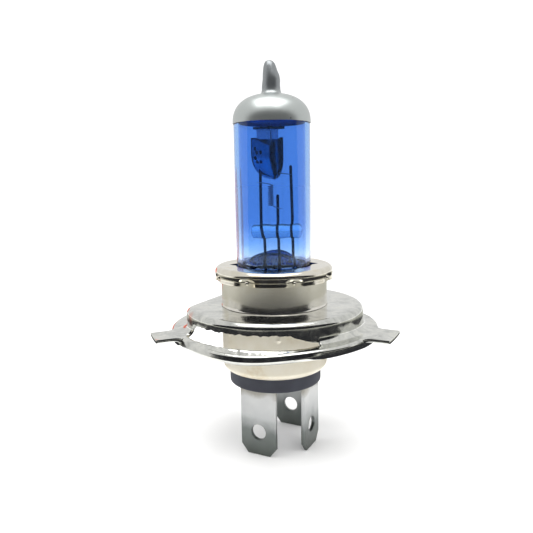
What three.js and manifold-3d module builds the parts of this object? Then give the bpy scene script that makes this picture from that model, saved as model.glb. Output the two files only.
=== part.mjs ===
// Two-filament halogen headlight bulb on a 43 mm pre-focus flange cap. Millimetres.
// +Z runs along the bulb axis from the terminals to the glass tip, +X points at the reference lug,
// and the origin is on the axis in the plane of the lugs' seating faces.
import * as THREE from 'three';
import { mergeVertices } from 'three/addons/utils/BufferGeometryUtils.js';
import Module from 'manifold-3d';

const wasm = await Module();
wasm.setup();

// ---- Driving dimensions -----------------------------------------------------------------------

const ROUND = 48;                    // facets round the axis, the same on every turned piece
const WIRE_SIDES = 8;
const FIT = 0.3;                     // clearance round cut and turned neighbours
const SEAT = 0.05;                   // gap under a piece that rests on another
const PAST = 1;                      // how far a cutter runs past the surface that it cuts

// Glass envelope and its pressed seal.
const GLASS_RADIUS = 7.66;
const GLASS_WALL = 0.95;
const DOME_START = 40.9;             // where the straight wall turns into the dome
const DOME_RISE = 5.6;
const DOME_POWER = 2.4;              // 2 is an ellipse, more is squarer at the shoulder
const NIPPLE_RADIUS = 1.8;
const NIPPLE_LENGTH = 6.3;
const NIPPLE_TAPER = 0.88;           // radius at the shoulder, as a share of the foot's
const NIPPLE_NECK = 0.58;            // height of the shoulder, as a share of the length
const FOOT_ROUND = 1.2;
const PINCH_LENGTH = 12.6;
const PINCH_WIDTH = 12.4;
const PINCH_THICKNESS = 4.2;
const PINCH_RIDGE = 3.0;             // how far the seal bulges up inside the bulb
const RIDGE_INSET = 0.6;
const RIDGE_SWELL = 0.5;
const COAT_THICKNESS = 0.12;
const COAT_GAP = 0.03;

// Lead rods, foils and filaments, in the plane of the pinch.
const BURNER_TURN = 26;              // degrees that the pinch plane is turned about the axis
const ROD_RADIUS = 0.3;
const ROD_CHANNEL = 0.12;            // clearance round a rod in the glass
const RODS = {
  common: { foot: -1.75, head: -2.45, top: 37.2 },
  main: { foot: 1.1, head: 1.0, top: 26.8 },
  dip: { foot: 4.05, head: 3.7, top: 32.6 },
};
const FOIL_WIDTH = 2.0;
const FOIL_THICKNESS = 0.12;
const FOIL_LENGTH = 5.6;
const BRIDGE_HEIGHT = 19.3;
const BRIDGE_RADIUS = 1.45;
const BRIDGE_CLEARANCE_COMMON = 2.15;
const BRIDGE_CLEARANCE_DIP = 0.66;
const COIL_RADIUS = 0.5;
const COIL_TURNS = 10;
const FILAMENT_WIRE = 0.1;           // radius
const FILAMENT_OFFSET = 0.62;        // coils stand in front of the rods' plane
const MAIN_COIL = { x: -0.4, low: 24.5, high: 28.6 };
const DIP_COIL = { x: -0.35, low: 31.4, high: 35.4 };
const LEG_PAST = 1.2;                // how far a filament's leg runs past its rod
const LEG_BEND = 0.6;                // from a coil's side to the bend of its leg
const LEG_DROP = 0.4;                // from a coil's end to its leg
const DIP_LEG_RISE = 1.9;            // above the shield's top

// Dip shield: a wedge-shaped cup with a ridge at the front and a taller back tab.
const SHIELD_LEFT = -4.3;
const SHIELD_RIGHT = 2.25;
const SHIELD_RIDGE = { x: -0.45, out: 2.7, top: 36.4 };
const SHIELD_BACK = 0.95;
const SHIELD_LOW = 29.8;
const SHIELD_HIGH = 38.1;
const SHIELD_SHEET = 0.3;
const SHIELD_TAB = { left: -2.9, right: 1.9, rise: 2.2 };
const SHIELD_MOUTH = 0.55;           // how far the front wall stands out at the open right side
const SHIELD_KNEE = 33.25;           // where the straight sides turn into the rounded foot
const SHIELD_EASE = { left: 1.2, right: 0.4 };   // how high the foot's curve is drawn in at each side

// Collar cap, sleeve, flange and shell.
const CAP_OVERHANG = 1.25;           // how far the cap stands out over the sleeve
const CAP_TOP = 12.45;
const CAP_HEIGHT = 2.8;
const CAP_EDGE = 1.1;
const CAP_SHEET = 0.4;
const CAP_EAR = 1.25;                // pointed ears of the opening, past its round edge
const CAP_EAR_SHARE = 0.42;          // half height of the ears' outline, as a share of the opening's radius
const CAP_WELDS = 8;
const WELD_RADIUS = 0.45;
const SHELL_RADIUS = 11.0;
const SHELL_SHEET = 0.5;
const SLEEVE_FLARE = 0.35;
const FLARE_HEIGHT = 1.6;
const SHELL_LENGTH = 13.5;           // from the raised plate to the crimped edge
const CRIMP_RADIUS = 1.3;
const SHELL_WELDS = 6;
const SHELL_WELD_HEIGHT = -0.8;
const JAW_LIFT = 4;                  // the clamp's jaws stop this far above the foot of the pinch
const NECK_LENGTH = 5.0;             // spigot of the shell through the flange, above the plate
const RIM_RADIUS = 21.5;
const RIM_WIDTH = 3.1;               // from the raised wall to the rim's edge
const RIM_LIP = 1.7;                 // depth of the turned-down lip
const RING_WIDTH = 1.6;              // what is left of the rim beside a window
const FLANGE_SHEET = 0.8;
const PLATE_HEIGHT = 4.3;
const CHORD_DEPTH = 3.2;             // how much of the raised plate the flat side takes off
const WINDOW_START = 38.5;           // degrees from the reference lug to a window's near end
const WINDOW_TAPER = 21.5;           // degrees over which the window grows to its full height
const WINDOW_END = 125;
const WINDOW_SILL = 2.2;             // height of the wall's lower edge over a window
const LUG_REACH = 4.1;
const LUG_REFERENCE_WIDTH = 8.0;
const LUG_SIDE_WIDTH = 6.0;
const LUG_SIDE_ANGLE = 132;

// Insulator and terminal blades.
const INSULATOR_REACH = 2.9;         // below the crimped edge of the shell
const INSULATOR_LENGTH = 6.9;
const INSULATOR_CHAMFER = 0.3;
const INSULATOR_SHOULDER = 0.55;     // radial step that the crimp holds
const BLADE_WIDTH = 8.0;
const BLADE_THICKNESS = 0.8;
const BLADE_REACH = 14.0;            // below the insulator
const BLADE_EDGE = 0.4;              // least insulator wall outside a blade's corner
const BLADE_SLOT = 0.15;
const BLADE_CHAMFER = { across: 1.5, along: 1.9 };
const BLADE_HOLE_RADIUS = 1.6;
const BLADE_HOLE_FROM_END = 4.95;
const TAB_WIDTH = 4.0;
const TAB_SHARE = 0.3275;            // rise of a blade's weld tab per length of its distance from the axis
const LEAD_RADIUS = 0.4;

// ---- Values that follow from them ---------------------------------------------------------------

const glassBore = GLASS_RADIUS - GLASS_WALL;
const domeTop = DOME_START + DOME_RISE;
const sleeveTop = CAP_TOP - CAP_SHEET - FIT;
const neckRadius = SHELL_RADIUS - SHELL_SHEET - FIT - SEAT;
const sleeveBore = neckRadius + FIT;
const sleeveRadius = sleeveBore + SHELL_SHEET;
const capRadius = sleeveRadius + CAP_OVERHANG;
const neckTop = PLATE_HEIGHT + NECK_LENGTH - SHELL_SHEET;
const clampTop = neckTop + FIT + CAP_SHEET;
const glassFoot = clampTop + FIT;
const pinchFoot = glassFoot - PINCH_LENGTH;
const ridgeTop = glassFoot + GLASS_WALL + 2 * PINCH_RIDGE;
const wallRadius = RIM_RADIUS - RIM_WIDTH;
const shellFoot = PLATE_HEIGHT - SHELL_LENGTH;
const shellTop = PLATE_HEIGHT - FLANGE_SHEET - FIT;
const insulatorFoot = shellFoot - INSULATOR_REACH;
const insulatorTop = insulatorFoot + INSULATOR_LENGTH;
const shoulderRadius = SHELL_RADIUS - SHELL_SHEET - FIT;
const insulatorRadius = shoulderRadius - INSULATOR_SHOULDER;
const bladeOffset = Math.sqrt((insulatorRadius - BLADE_EDGE) ** 2 - (BLADE_WIDTH / 2) ** 2)
  - BLADE_THICKNESS / 2;
const tabTop = insulatorTop + TAB_SHARE * bladeOffset;
const foilTop = pinchFoot + (PINCH_LENGTH + FOIL_LENGTH) / 2;
const foilFoot = foilTop - FOIL_LENGTH;
const turn = THREE.MathUtils.degToRad(BURNER_TURN);

// ---- Shared steps ---------------------------------------------------------------------------------

const finish = (color, roughness, metalness, opacity = 1) =>
  new THREE.MeshStandardMaterial({ color, roughness, metalness, opacity, transparent: opacity < 1 });

/** A closed geometry as a manifold solid: shared corners merged, slivers of no area dropped. */
function solid(geometry) {
  const bare = geometry.clone();
  bare.deleteAttribute('normal');
  bare.deleteAttribute('uv');
  const merged = mergeVertices(bare);
  const corners = [];
  for (let i = 0; i < merged.index.count; i += 3) {
    const [a, b, c] = [0, 1, 2].map((k) => merged.index.getX(i + k));
    if (a !== b && b !== c && c !== a) corners.push(a, b, c);
  }
  const vertProperties = new Float32Array(merged.attributes.position.array);
  return new wasm.Manifold(new wasm.Mesh({
    numProp: 3, vertProperties, triVerts: new Uint32Array(corners),
  }));
}

/** A manifold solid as a geometry with flat faces. */
function surface(shape) {
  const mesh = shape.getMesh();
  const geometry = new THREE.BufferGeometry();
  geometry.setAttribute('position', new THREE.BufferAttribute(mesh.vertProperties, 3));
  geometry.setIndex(new THREE.BufferAttribute(mesh.triVerts, 1));
  const flat = geometry.toNonIndexed();
  flat.computeVertexNormals();
  return flat;
}

/** A profile of [radius, height] pairs, run anticlockwise, turned about the bulb axis. */
function turned(profile, facets = ROUND) {
  const points = profile.map(([r, z]) => new THREE.Vector2(r, z));
  return new THREE.LatheGeometry(points, facets).rotateX(Math.PI / 2);
}

/** Points of an arc in the profile plane, angles in degrees. */
function arc(r, z, radius, from, to, steps = 3) {
  return Array.from({ length: steps + 1 }, (_, i) => {
    const a = THREE.MathUtils.degToRad(from + ((to - from) * i) / steps);
    return [r + radius * Math.cos(a), z + radius * Math.sin(a)];
  });
}

/** A closed ring profile: the last point repeats the first. */
const ring = (profile) => [...profile, profile[0]];

/** A flat outline in X and Y, raised from one height to another. */
function raised(shape, low, high, curveSegments = ROUND) {
  return new THREE.ExtrudeGeometry(shape, { depth: high - low, bevelEnabled: false, curveSegments })
    .translate(0, 0, low);
}

/** A box between two corners. */
function block(low, high) {
  const size = high.map((v, i) => v - low[i]);
  const middle = high.map((v, i) => (v + low[i]) / 2);
  return new THREE.BoxGeometry(...size).translate(...middle);
}

/** A round bar between two heights at one place. */
function bar(x, y, low, high, radius, sides = WIRE_SIDES) {
  return new THREE.CylinderGeometry(radius, radius, high - low, sides)
    .rotateX(Math.PI / 2).translate(x, y, (low + high) / 2);
}

/** A round wire along a curve. */
function wire(curve, radius, steps, sides = WIRE_SIDES) {
  const section = new THREE.Shape(Array.from({ length: sides }, (_, i) => {
    const a = (2 * Math.PI * i) / sides;
    return new THREE.Vector2(radius * Math.cos(a), radius * Math.sin(a));
  }));
  return new THREE.ExtrudeGeometry(section, { steps, extrudePath: curve, bevelEnabled: false });
}

const at = (x, y, z) => new THREE.Vector3(x, y, z);

function named(name, geometry, material) {
  const mesh = new THREE.Mesh(geometry, material);
  mesh.name = name;
  return mesh;
}

// ---- Glass ------------------------------------------------------------------------------------------

/** Outer line of dome and nipple from the straight wall to the tip, pushed out by an offset. */
function crown(offset) {
  const steps = 7;
  const nippleFoot = NIPPLE_RADIUS + offset;
  const dome = Array.from({ length: steps }, (_, i) => {
    const a = (Math.PI / 2) * (i / steps);
    const r = (GLASS_RADIUS + offset) * Math.cos(a) ** (2 / DOME_POWER);
    return [r, DOME_START + (DOME_RISE + offset) * Math.sin(a) ** (2 / DOME_POWER)];
  }).filter(([r]) => r > nippleFoot);
  const neck = NIPPLE_LENGTH * NIPPLE_NECK;
  const cap = NIPPLE_LENGTH - neck;
  const nipple = Array.from({ length: 5 }, (_, i) => {
    const a = (Math.PI / 2) * (i / 4);
    return [nippleFoot * NIPPLE_TAPER * Math.cos(a), domeTop + neck + (cap + offset) * Math.sin(a)];
  });
  nipple[4][0] = 0;
  return [...dome, [nippleFoot, domeTop + offset], ...nipple];
}

/** Where a rod stands in the pinch plane at a height: kinked inside the bridge. */
function rodPlace({ foot, head }, z) {
  const low = BRIDGE_HEIGHT - BRIDGE_RADIUS;
  const share = THREE.MathUtils.clamp((z - low) / (2 * BRIDGE_RADIUS), 0, 1);
  return foot + (head - foot) * share;
}

/** A rod from the foils to its tip, or the wider channel that it runs in. */
function rod(place, radius, low, high) {
  const stops = [low, BRIDGE_HEIGHT - BRIDGE_RADIUS, BRIDGE_HEIGHT + BRIDGE_RADIUS, high];
  const path = new THREE.CurvePath();
  for (let i = 0; i < 3; i += 1) {
    const [a, b] = [stops[i], stops[i + 1]];
    path.add(new THREE.LineCurve3(at(rodPlace(place, a), 0, a), at(rodPlace(place, b), 0, b)));
  }
  return wire(path, radius, 12);
}

function glassEnvelope() {
  const outer = solid(turned([
    [0, glassFoot], [GLASS_RADIUS - FOOT_ROUND, glassFoot],
    ...arc(GLASS_RADIUS - FOOT_ROUND, glassFoot + FOOT_ROUND, FOOT_ROUND, -60, 0),
    ...crown(0),
  ]));
  const floor = glassFoot + FOOT_ROUND + GLASS_WALL;
  const hollow = solid(turned([
    [0, floor], [glassBore - FOOT_ROUND, floor],
    ...arc(glassBore - FOOT_ROUND, floor + FOOT_ROUND, FOOT_ROUND, -60, 0),
    ...crown(-GLASS_WALL).filter(([r, z]) => z < domeTop - GLASS_WALL && r > NIPPLE_RADIUS),
    [0, domeTop - GLASS_WALL],
  ]));
  const pinch = solid(block(
    [-PINCH_WIDTH / 2, -PINCH_THICKNESS / 2, pinchFoot],
    [PINCH_WIDTH / 2, PINCH_THICKNESS / 2, glassFoot + FOOT_ROUND],
  ));
  const ridge = solid(new THREE.SphereGeometry(1, 16, 10)
    .scale(PINCH_WIDTH / 2 - RIDGE_INSET, PINCH_THICKNESS / 2 + RIDGE_SWELL, PINCH_RIDGE)
    .translate(0, 0, floor));
  let glass = outer.subtract(hollow).add(pinch).add(ridge);
  for (const place of Object.values(RODS)) {
    const x = place.foot;
    const channel = ROD_RADIUS + ROD_CHANNEL;
    glass = glass
      .subtract(solid(bar(x, 0, foilTop - ROD_CHANNEL, ridgeTop, channel)))
      .subtract(solid(bar(x, 0, pinchFoot - PAST, foilFoot + ROD_CHANNEL, LEAD_RADIUS + ROD_CHANNEL)))
      .subtract(solid(block(
        [x - FOIL_WIDTH / 2 - ROD_CHANNEL, -FOIL_THICKNESS / 2 - ROD_CHANNEL, foilFoot - ROD_CHANNEL],
        [x + FOIL_WIDTH / 2 + ROD_CHANNEL, FOIL_THICKNESS / 2 + ROD_CHANNEL, foilTop + ROD_CHANNEL],
      )));
  }
  return surface(glass);
}

/** Paint over the dome and nipple: a thin skin just outside the glass, open below. */
function domeCoat() {
  const outside = crown(COAT_GAP + COAT_THICKNESS);
  const inside = crown(COAT_GAP).reverse();
  return turned([...outside, ...inside, outside[0]]);
}

function glassBridge() {
  const left = -(glassBore - BRIDGE_CLEARANCE_COMMON);
  const right = glassBore - BRIDGE_CLEARANCE_DIP;
  const straight = right - left - 2 * BRIDGE_RADIUS;
  let bead = solid(new THREE.CapsuleGeometry(BRIDGE_RADIUS, straight, 4, 16)
    .rotateZ(Math.PI / 2).translate((left + right) / 2, 0, BRIDGE_HEIGHT));
  for (const place of Object.values(RODS)) {
    const low = BRIDGE_HEIGHT - 2 * BRIDGE_RADIUS;
    const high = BRIDGE_HEIGHT + 2 * BRIDGE_RADIUS;
    bead = bead.subtract(solid(rod(place, ROD_RADIUS + ROD_CHANNEL, low, high)));
  }
  return surface(bead);
}

// ---- Filaments and shield -----------------------------------------------------------------------------

/** A coil on an upright axis with a lead at each end, as one wire. */
function filament(coil, lowLead, highLead) {
  const perTurn = 8;
  const count = COIL_TURNS * perTurn;
  const turns = Array.from({ length: count + 1 }, (_, i) => {
    const a = (2 * Math.PI * i) / perTurn;
    const z = coil.low + ((coil.high - coil.low) * i) / count;
    return at(coil.x + COIL_RADIUS * Math.cos(a), -FILAMENT_OFFSET + COIL_RADIUS * Math.sin(a), z);
  });
  const curve = new THREE.CatmullRomCurve3([...lowLead, ...turns, ...highLead]);
  return wire(curve, FILAMENT_WIRE, count + 24, 5);
}

const leadLine = -(ROD_RADIUS + FILAMENT_WIRE + SEAT);

function mainFilament() {
  const { x, low, high } = MAIN_COIL;
  return filament(
    MAIN_COIL,
    [at(RODS.main.head + LEG_PAST, leadLine, low - 1.25 * LEG_DROP),
      at(x + COIL_RADIUS + LEG_BEND, leadLine, low - 0.75 * LEG_DROP)],
    [at(x - LEG_DROP, leadLine, high + LEG_DROP),
      at(RODS.common.head - LEG_PAST, leadLine, high + 1.5 * LEG_DROP)],
  );
}

function dipFilament() {
  const { x, low, high } = DIP_COIL;
  return filament(
    DIP_COIL,
    [at(RODS.dip.head + COIL_RADIUS, leadLine, low - 2 * LEG_DROP),
      at(x + COIL_RADIUS + LEG_BEND, leadLine, low - LEG_DROP)],
    [at(x, -FILAMENT_OFFSET, high + 2 * LEG_DROP), at(x, -FILAMENT_OFFSET, SHIELD_HIGH + DIP_LEG_RISE)],
  );
}

/** Plan of the shield's wedge, shrunk by the sheet for its hollow; the right side stays open. */
function shieldPlan(inset) {
  const { x, out } = SHIELD_RIDGE;
  const left = SHIELD_LEFT + 1.6 * inset;
  const right = SHIELD_RIGHT + (inset ? PAST : 0);
  return new THREE.Shape([
    new THREE.Vector2(left, -inset / 4), new THREE.Vector2(x, -out + 1.2 * inset),
    new THREE.Vector2(right, -SHIELD_MOUTH + inset / 6), new THREE.Vector2(right, SHIELD_BACK - inset),
    new THREE.Vector2(left, SHIELD_BACK - inset),
  ]);
}

/** Front view of the shield, drawn in X and Z: straight top, rounded foot. */
function shieldFront(inset) {
  const left = SHIELD_LEFT - SEAT + inset;
  const right = SHIELD_RIGHT + SEAT;
  const foot = SHIELD_LOW + inset;
  const middle = SHIELD_RIDGE.x + COIL_RADIUS;
  const shape = new THREE.Shape();
  shape.moveTo(left, SHIELD_HIGH + PAST);
  shape.lineTo(left, SHIELD_KNEE);
  shape.quadraticCurveTo(left, foot + SHIELD_EASE.left, middle, foot);
  shape.quadraticCurveTo(right, foot + SHIELD_EASE.right, right, SHIELD_KNEE);
  shape.lineTo(right, SHIELD_HIGH + PAST);
  return new THREE.ExtrudeGeometry(shape, { depth: 2 * GLASS_RADIUS, bevelEnabled: false, curveSegments: 8 })
    .rotateX(Math.PI / 2).translate(0, GLASS_RADIUS, 0);
}

function dipShield() {
  const cup = solid(raised(shieldPlan(0), SHIELD_LOW - PAST, SHIELD_HIGH)).intersect(solid(shieldFront(0)));
  const hollow = solid(raised(shieldPlan(SHIELD_SHEET), SHIELD_LOW - 2 * PAST, SHIELD_HIGH + PAST))
    .intersect(solid(shieldFront(SHIELD_SHEET)));
  const behind = SHIELD_BACK - 2 * SHIELD_SHEET;
  const before = -SHIELD_RIDGE.out - FIT;
  const slope = new THREE.Shape([
    new THREE.Vector2(behind, SHIELD_HIGH), new THREE.Vector2(before, SHIELD_RIDGE.top),
    new THREE.Vector2(before, SHIELD_HIGH + PAST), new THREE.Vector2(behind, SHIELD_HIGH + PAST),
  ]);
  const bevel = solid(new THREE.ExtrudeGeometry(slope, { depth: 2 * GLASS_RADIUS, bevelEnabled: false })
    .rotateX(Math.PI / 2).rotateZ(Math.PI / 2).translate(-GLASS_RADIUS, 0, 0));
  const tab = solid(block(
    [SHIELD_TAB.left, SHIELD_BACK - SHIELD_SHEET, SHIELD_HIGH - PAST],
    [SHIELD_TAB.right, SHIELD_BACK, SHIELD_HIGH + SHIELD_TAB.rise],
  ));
  const rodHole = solid(bar(RODS.common.head, 0, SHIELD_LOW - PAST, SHIELD_HIGH, ROD_RADIUS + ROD_CHANNEL));
  return surface(cup.subtract(hollow).subtract(bevel).subtract(rodHole).add(tab));
}

// ---- Metal cap ----------------------------------------------------------------------------------------

function collarCap() {
  const foot = CAP_TOP - CAP_HEIGHT;
  const corner = [capRadius - CAP_EDGE, CAP_TOP - CAP_EDGE];
  const bore = GLASS_RADIUS + FIT;
  let cap = solid(turned(ring([
    [bore, CAP_TOP - CAP_SHEET],
    ...arc(...corner, CAP_EDGE - CAP_SHEET, 90, 0),
    [capRadius - CAP_SHEET, foot], [capRadius, foot],
    ...arc(...corner, CAP_EDGE, 0, 90),
    [bore, CAP_TOP],
  ])));
  const ears = new THREE.Shape([
    new THREE.Vector2(bore + CAP_EAR, 0), new THREE.Vector2(0, CAP_EAR_SHARE * bore),
    new THREE.Vector2(-bore - CAP_EAR, 0), new THREE.Vector2(0, -CAP_EAR_SHARE * bore),
  ]);
  cap = cap.subtract(solid(raised(ears, CAP_TOP - CAP_EDGE, CAP_TOP + PAST).rotateZ(turn)));
  for (let i = 0; i < CAP_WELDS; i += 1) {
    const a = (2 * Math.PI * i) / CAP_WELDS;
    const r = capRadius - CAP_SHEET / 2;
    cap = cap.add(solid(new THREE.SphereGeometry(WELD_RADIUS, 6, 4)
      .translate(r * Math.cos(a), r * Math.sin(a), foot + 2 * WELD_RADIUS)));
  }
  return surface(cap);
}

function upperSleeve() {
  const foot = PLATE_HEIGHT + SEAT;
  const flare = sleeveRadius + SLEEVE_FLARE;
  return turned(ring([
    [flare - SHELL_SHEET, foot], [flare, foot], [flare - SLEEVE_FLARE / 4, foot + FLARE_HEIGHT / 4],
    [sleeveRadius, foot + FLARE_HEIGHT], [sleeveRadius, sleeveTop], [sleeveBore, sleeveTop],
    [sleeveBore, foot + FLARE_HEIGHT],
  ]));
}

/** A drum with one flat side away from the reference lug. */
function flattedDrum(radius, chord, low, high) {
  const drum = solid(turned([[0, low], [radius, low], [radius, high], [0, high]]));
  const wide = radius + PAST;
  return drum.intersect(solid(block([-chord, -wide, low - PAST], [wide, wide, high + PAST])));
}

/** One window: full height along most of the wall, with a lower edge that slopes to the reference lug. */
function windowCut(side) {
  const outer = RIM_RADIUS - RING_WIDTH;
  const inner = wallRadius - 2 * FLANGE_SHEET;
  const below = -RIM_LIP - PAST;
  const past = 2 * RIM_RADIUS;
  const slope = WINDOW_START + WINDOW_TAPER;
  const ray = (degrees) => {
    const a = THREE.MathUtils.degToRad(side * degrees);
    return new THREE.Vector2(past * Math.cos(a), past * Math.sin(a));
  };
  const wedge = new THREE.Shape([new THREE.Vector2(0, 0), ray(slope), ray((slope + WINDOW_END) / 2),
    ray(WINDOW_END)]);
  const half = outer * Math.tan(THREE.MathUtils.degToRad(WINDOW_TAPER / 2));
  const ramp = new THREE.Shape([
    new THREE.Vector2(-half, below), new THREE.Vector2(half, below),
    new THREE.Vector2(half, WINDOW_SILL), new THREE.Vector2(-half, 0),
  ]);
  const sloped = new THREE.ExtrudeGeometry(ramp, { depth: outer, bevelEnabled: false })
    .rotateX(Math.PI / 2).rotateZ(Math.PI / 2);
  const middle = THREE.MathUtils.degToRad(WINDOW_START + WINDOW_TAPER / 2);
  let cut = solid(sloped.rotateZ(middle));
  if (side < 0) cut = cut.mirror([0, 1, 0]);
  const band = solid(turned(ring([
    [inner, below], [outer, below], [outer, WINDOW_SILL], [inner, WINDOW_SILL],
  ])));
  return band.intersect(cut.add(solid(raised(wedge, below, WINDOW_SILL))));
}

function lug(width, angle) {
  const root = RIM_RADIUS - RING_WIDTH;
  return solid(block([root, -width / 2, -FLANGE_SHEET], [RIM_RADIUS + LUG_REACH, width / 2, 0])
    .rotateZ(THREE.MathUtils.degToRad(angle)));
}

function focusingFlange() {
  const chord = wallRadius - CHORD_DEPTH;
  const under = PLATE_HEIGHT - FLANGE_SHEET;
  const hat = flattedDrum(wallRadius, chord, -FLANGE_SHEET, PLATE_HEIGHT);
  const inside = flattedDrum(wallRadius - FLANGE_SHEET, chord - FLANGE_SHEET, -RIM_LIP - PAST, under);
  const rim = solid(turned(ring([
    [chord - 2 * FLANGE_SHEET, -FLANGE_SHEET], [RIM_RADIUS - FLANGE_SHEET, -FLANGE_SHEET],
    [RIM_RADIUS - FLANGE_SHEET, -RIM_LIP], [RIM_RADIUS, -RIM_LIP], [RIM_RADIUS, 0],
    [chord - 2 * FLANGE_SHEET, 0],
  ])));
  const bore = solid(bar(0, 0, under - PAST, PLATE_HEIGHT + PAST, neckRadius + FIT, ROUND));
  return surface(hat.add(rim).subtract(inside).subtract(bore)
    .subtract(windowCut(1)).subtract(windowCut(-1))
    .add(lug(LUG_REFERENCE_WIDTH, 0))
    .add(lug(LUG_SIDE_WIDTH, LUG_SIDE_ANGLE)).add(lug(LUG_SIDE_WIDTH, -LUG_SIDE_ANGLE)));
}

function baseShell() {
  const bore = SHELL_RADIUS - SHELL_SHEET;
  const edge = insulatorRadius + FIT;
  const bend = [SHELL_RADIUS - CRIMP_RADIUS, shellFoot + CRIMP_RADIUS];
  const neckBore = neckRadius - SHELL_SHEET;
  let shell = solid(turned(ring([
    [edge, shellFoot], ...arc(...bend, CRIMP_RADIUS, -75, 0).filter(([r]) => r > edge),
    [SHELL_RADIUS, shellTop], [neckRadius, shellTop], [neckRadius, neckTop], [neckBore, neckTop],
    [neckBore, shellTop - SHELL_SHEET], [bore, shellTop - SHELL_SHEET],
    ...arc(...bend, CRIMP_RADIUS - SHELL_SHEET, 0, -75).filter(([r]) => r > edge),
    [edge, shellFoot + SHELL_SHEET],
  ])));
  for (let i = 0; i < SHELL_WELDS; i += 1) {
    const a = (2 * Math.PI * i) / SHELL_WELDS;
    const r = SHELL_RADIUS - SHELL_SHEET / 2;
    shell = shell.add(solid(new THREE.SphereGeometry(WELD_RADIUS, 6, 4)
      .translate(r * Math.cos(a), r * Math.sin(a), SHELL_WELD_HEIGHT)));
  }
  return surface(shell);
}

function pinchClamp() {
  const sheet = CAP_SHEET;
  const [w, t] = [PINCH_WIDTH / 2 + FIT, PINCH_THICKNESS / 2 + FIT];
  const disc = solid(bar(0, 0, clampTop - sheet, clampTop, neckRadius, ROUND).rotateZ(-turn));
  const jaw = solid(block([-w - sheet, -t - sheet, pinchFoot + JAW_LIFT], [w + sheet, t + sheet, clampTop]));
  const slot = solid(block([-w, -t, pinchFoot], [w, t, clampTop + PAST]));
  return surface(disc.add(jaw).subtract(slot));
}

// ---- Insulator and terminals --------------------------------------------------------------------------

const BLADES = {
  terminal_common: { angle: -90, rod: RODS.common },
  terminal_main: { angle: 90, rod: RODS.main },
  terminal_dip: { angle: 0, rod: RODS.dip },
};

function insulator() {
  const shoulder = shellFoot + SHELL_SHEET + FIT;
  let body = solid(turned([
    [0, insulatorFoot], [insulatorRadius - INSULATOR_CHAMFER, insulatorFoot],
    [insulatorRadius, insulatorFoot + INSULATOR_CHAMFER], [insulatorRadius, shoulder],
    [shoulderRadius - CRIMP_RADIUS + INSULATOR_CHAMFER, shoulder], [shoulderRadius, shoulder + CRIMP_RADIUS],
    [shoulderRadius, insulatorTop], [0, insulatorTop],
  ]));
  for (const { angle } of Object.values(BLADES)) {
    const low = bladeOffset - BLADE_THICKNESS / 2 - BLADE_SLOT;
    const half = BLADE_WIDTH / 2 + BLADE_SLOT;
    body = body.subtract(solid(block(
      [low, -half, insulatorFoot - PAST],
      [low + BLADE_THICKNESS + 2 * BLADE_SLOT, half, insulatorTop + PAST],
    ).rotateZ(THREE.MathUtils.degToRad(angle))));
  }
  return surface(body);
}

/** A flat blade, drawn across and along, with a chamfered end, a latch hole and a narrow weld tab. */
function blade(angle) {
  const end = insulatorFoot - BLADE_REACH;
  const half = BLADE_WIDTH / 2;
  const { across, along } = BLADE_CHAMFER;
  const shape = new THREE.Shape([
    [-half + across, end], [half - across, end], [half, end + along], [half, insulatorTop],
    [TAB_WIDTH / 2, insulatorTop], [TAB_WIDTH / 2, tabTop],
    [-TAB_WIDTH / 2, tabTop], [-TAB_WIDTH / 2, insulatorTop],
    [-half, insulatorTop], [-half, end + along],
  ].map(([u, v]) => new THREE.Vector2(u, v)));
  const hole = new THREE.Path();
  hole.absarc(0, end + BLADE_HOLE_FROM_END, BLADE_HOLE_RADIUS, 0, 2 * Math.PI, false);
  shape.holes.push(hole);
  return new THREE.ExtrudeGeometry(shape, {
    depth: BLADE_THICKNESS, bevelEnabled: false, curveSegments: 12,
  }).rotateX(Math.PI / 2).rotateZ(Math.PI / 2)
    .translate(bladeOffset - BLADE_THICKNESS / 2, 0, 0)
    .rotateZ(THREE.MathUtils.degToRad(angle));
}

/** A stiff lead from the foot of the pinch to the inner face of a terminal's weld tab. */
function leadOut({ angle, rod: { foot } }) {
  const spin = (v, a) => v.applyAxisAngle(at(0, 0, 1), a);
  const start = (z) => spin(at(foot, 0, z), turn);
  const reach = bladeOffset - BLADE_THICKNESS / 2 - LEAD_RADIUS - FIT;
  const end = (z) => spin(at(reach, 0, z), THREE.MathUtils.degToRad(angle));
  const straight = pinchFoot - LEAD_RADIUS;
  const low = insulatorTop + 2 * LEAD_RADIUS;
  const path = new THREE.CurvePath();
  path.add(new THREE.LineCurve3(start(foilFoot - FIT), start(straight)));
  path.add(new THREE.CatmullRomCurve3([
    start(straight), start(low).lerp(end(low), 0.4), end(low), end(tabTop),
  ], false, 'centripetal'));
  return wire(path, LEAD_RADIUS, 20);
}

// ---- Assembly -----------------------------------------------------------------------------------------

const blueGlass = finish('#4f87e6', 0.03, 0, 0.45);
const clearGlass = finish('#c8d6ea', 0.03, 0, 0.45);
const silverPaint = finish('#b9c0bf', 0.45, 0.6);
const molybdenum = finish('#6a6d74', 0.35, 1);
const tungsten = finish('#7f8085', 0.4, 1);
const brightNickel = finish('#d6d3c8', 0.15, 1);
const satinNickel = finish('#c8c5ba', 0.3, 1);
const zincSheet = finish('#b9bab6', 0.4, 1);
const warmNickel = finish('#d8d2c0', 0.35, 0.9);
const moulding = finish('#32343e', 0.6, 0);
const tinnedSteel = finish('#b4b8b9', 0.35, 1);

const bulb = new THREE.Group();

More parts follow.
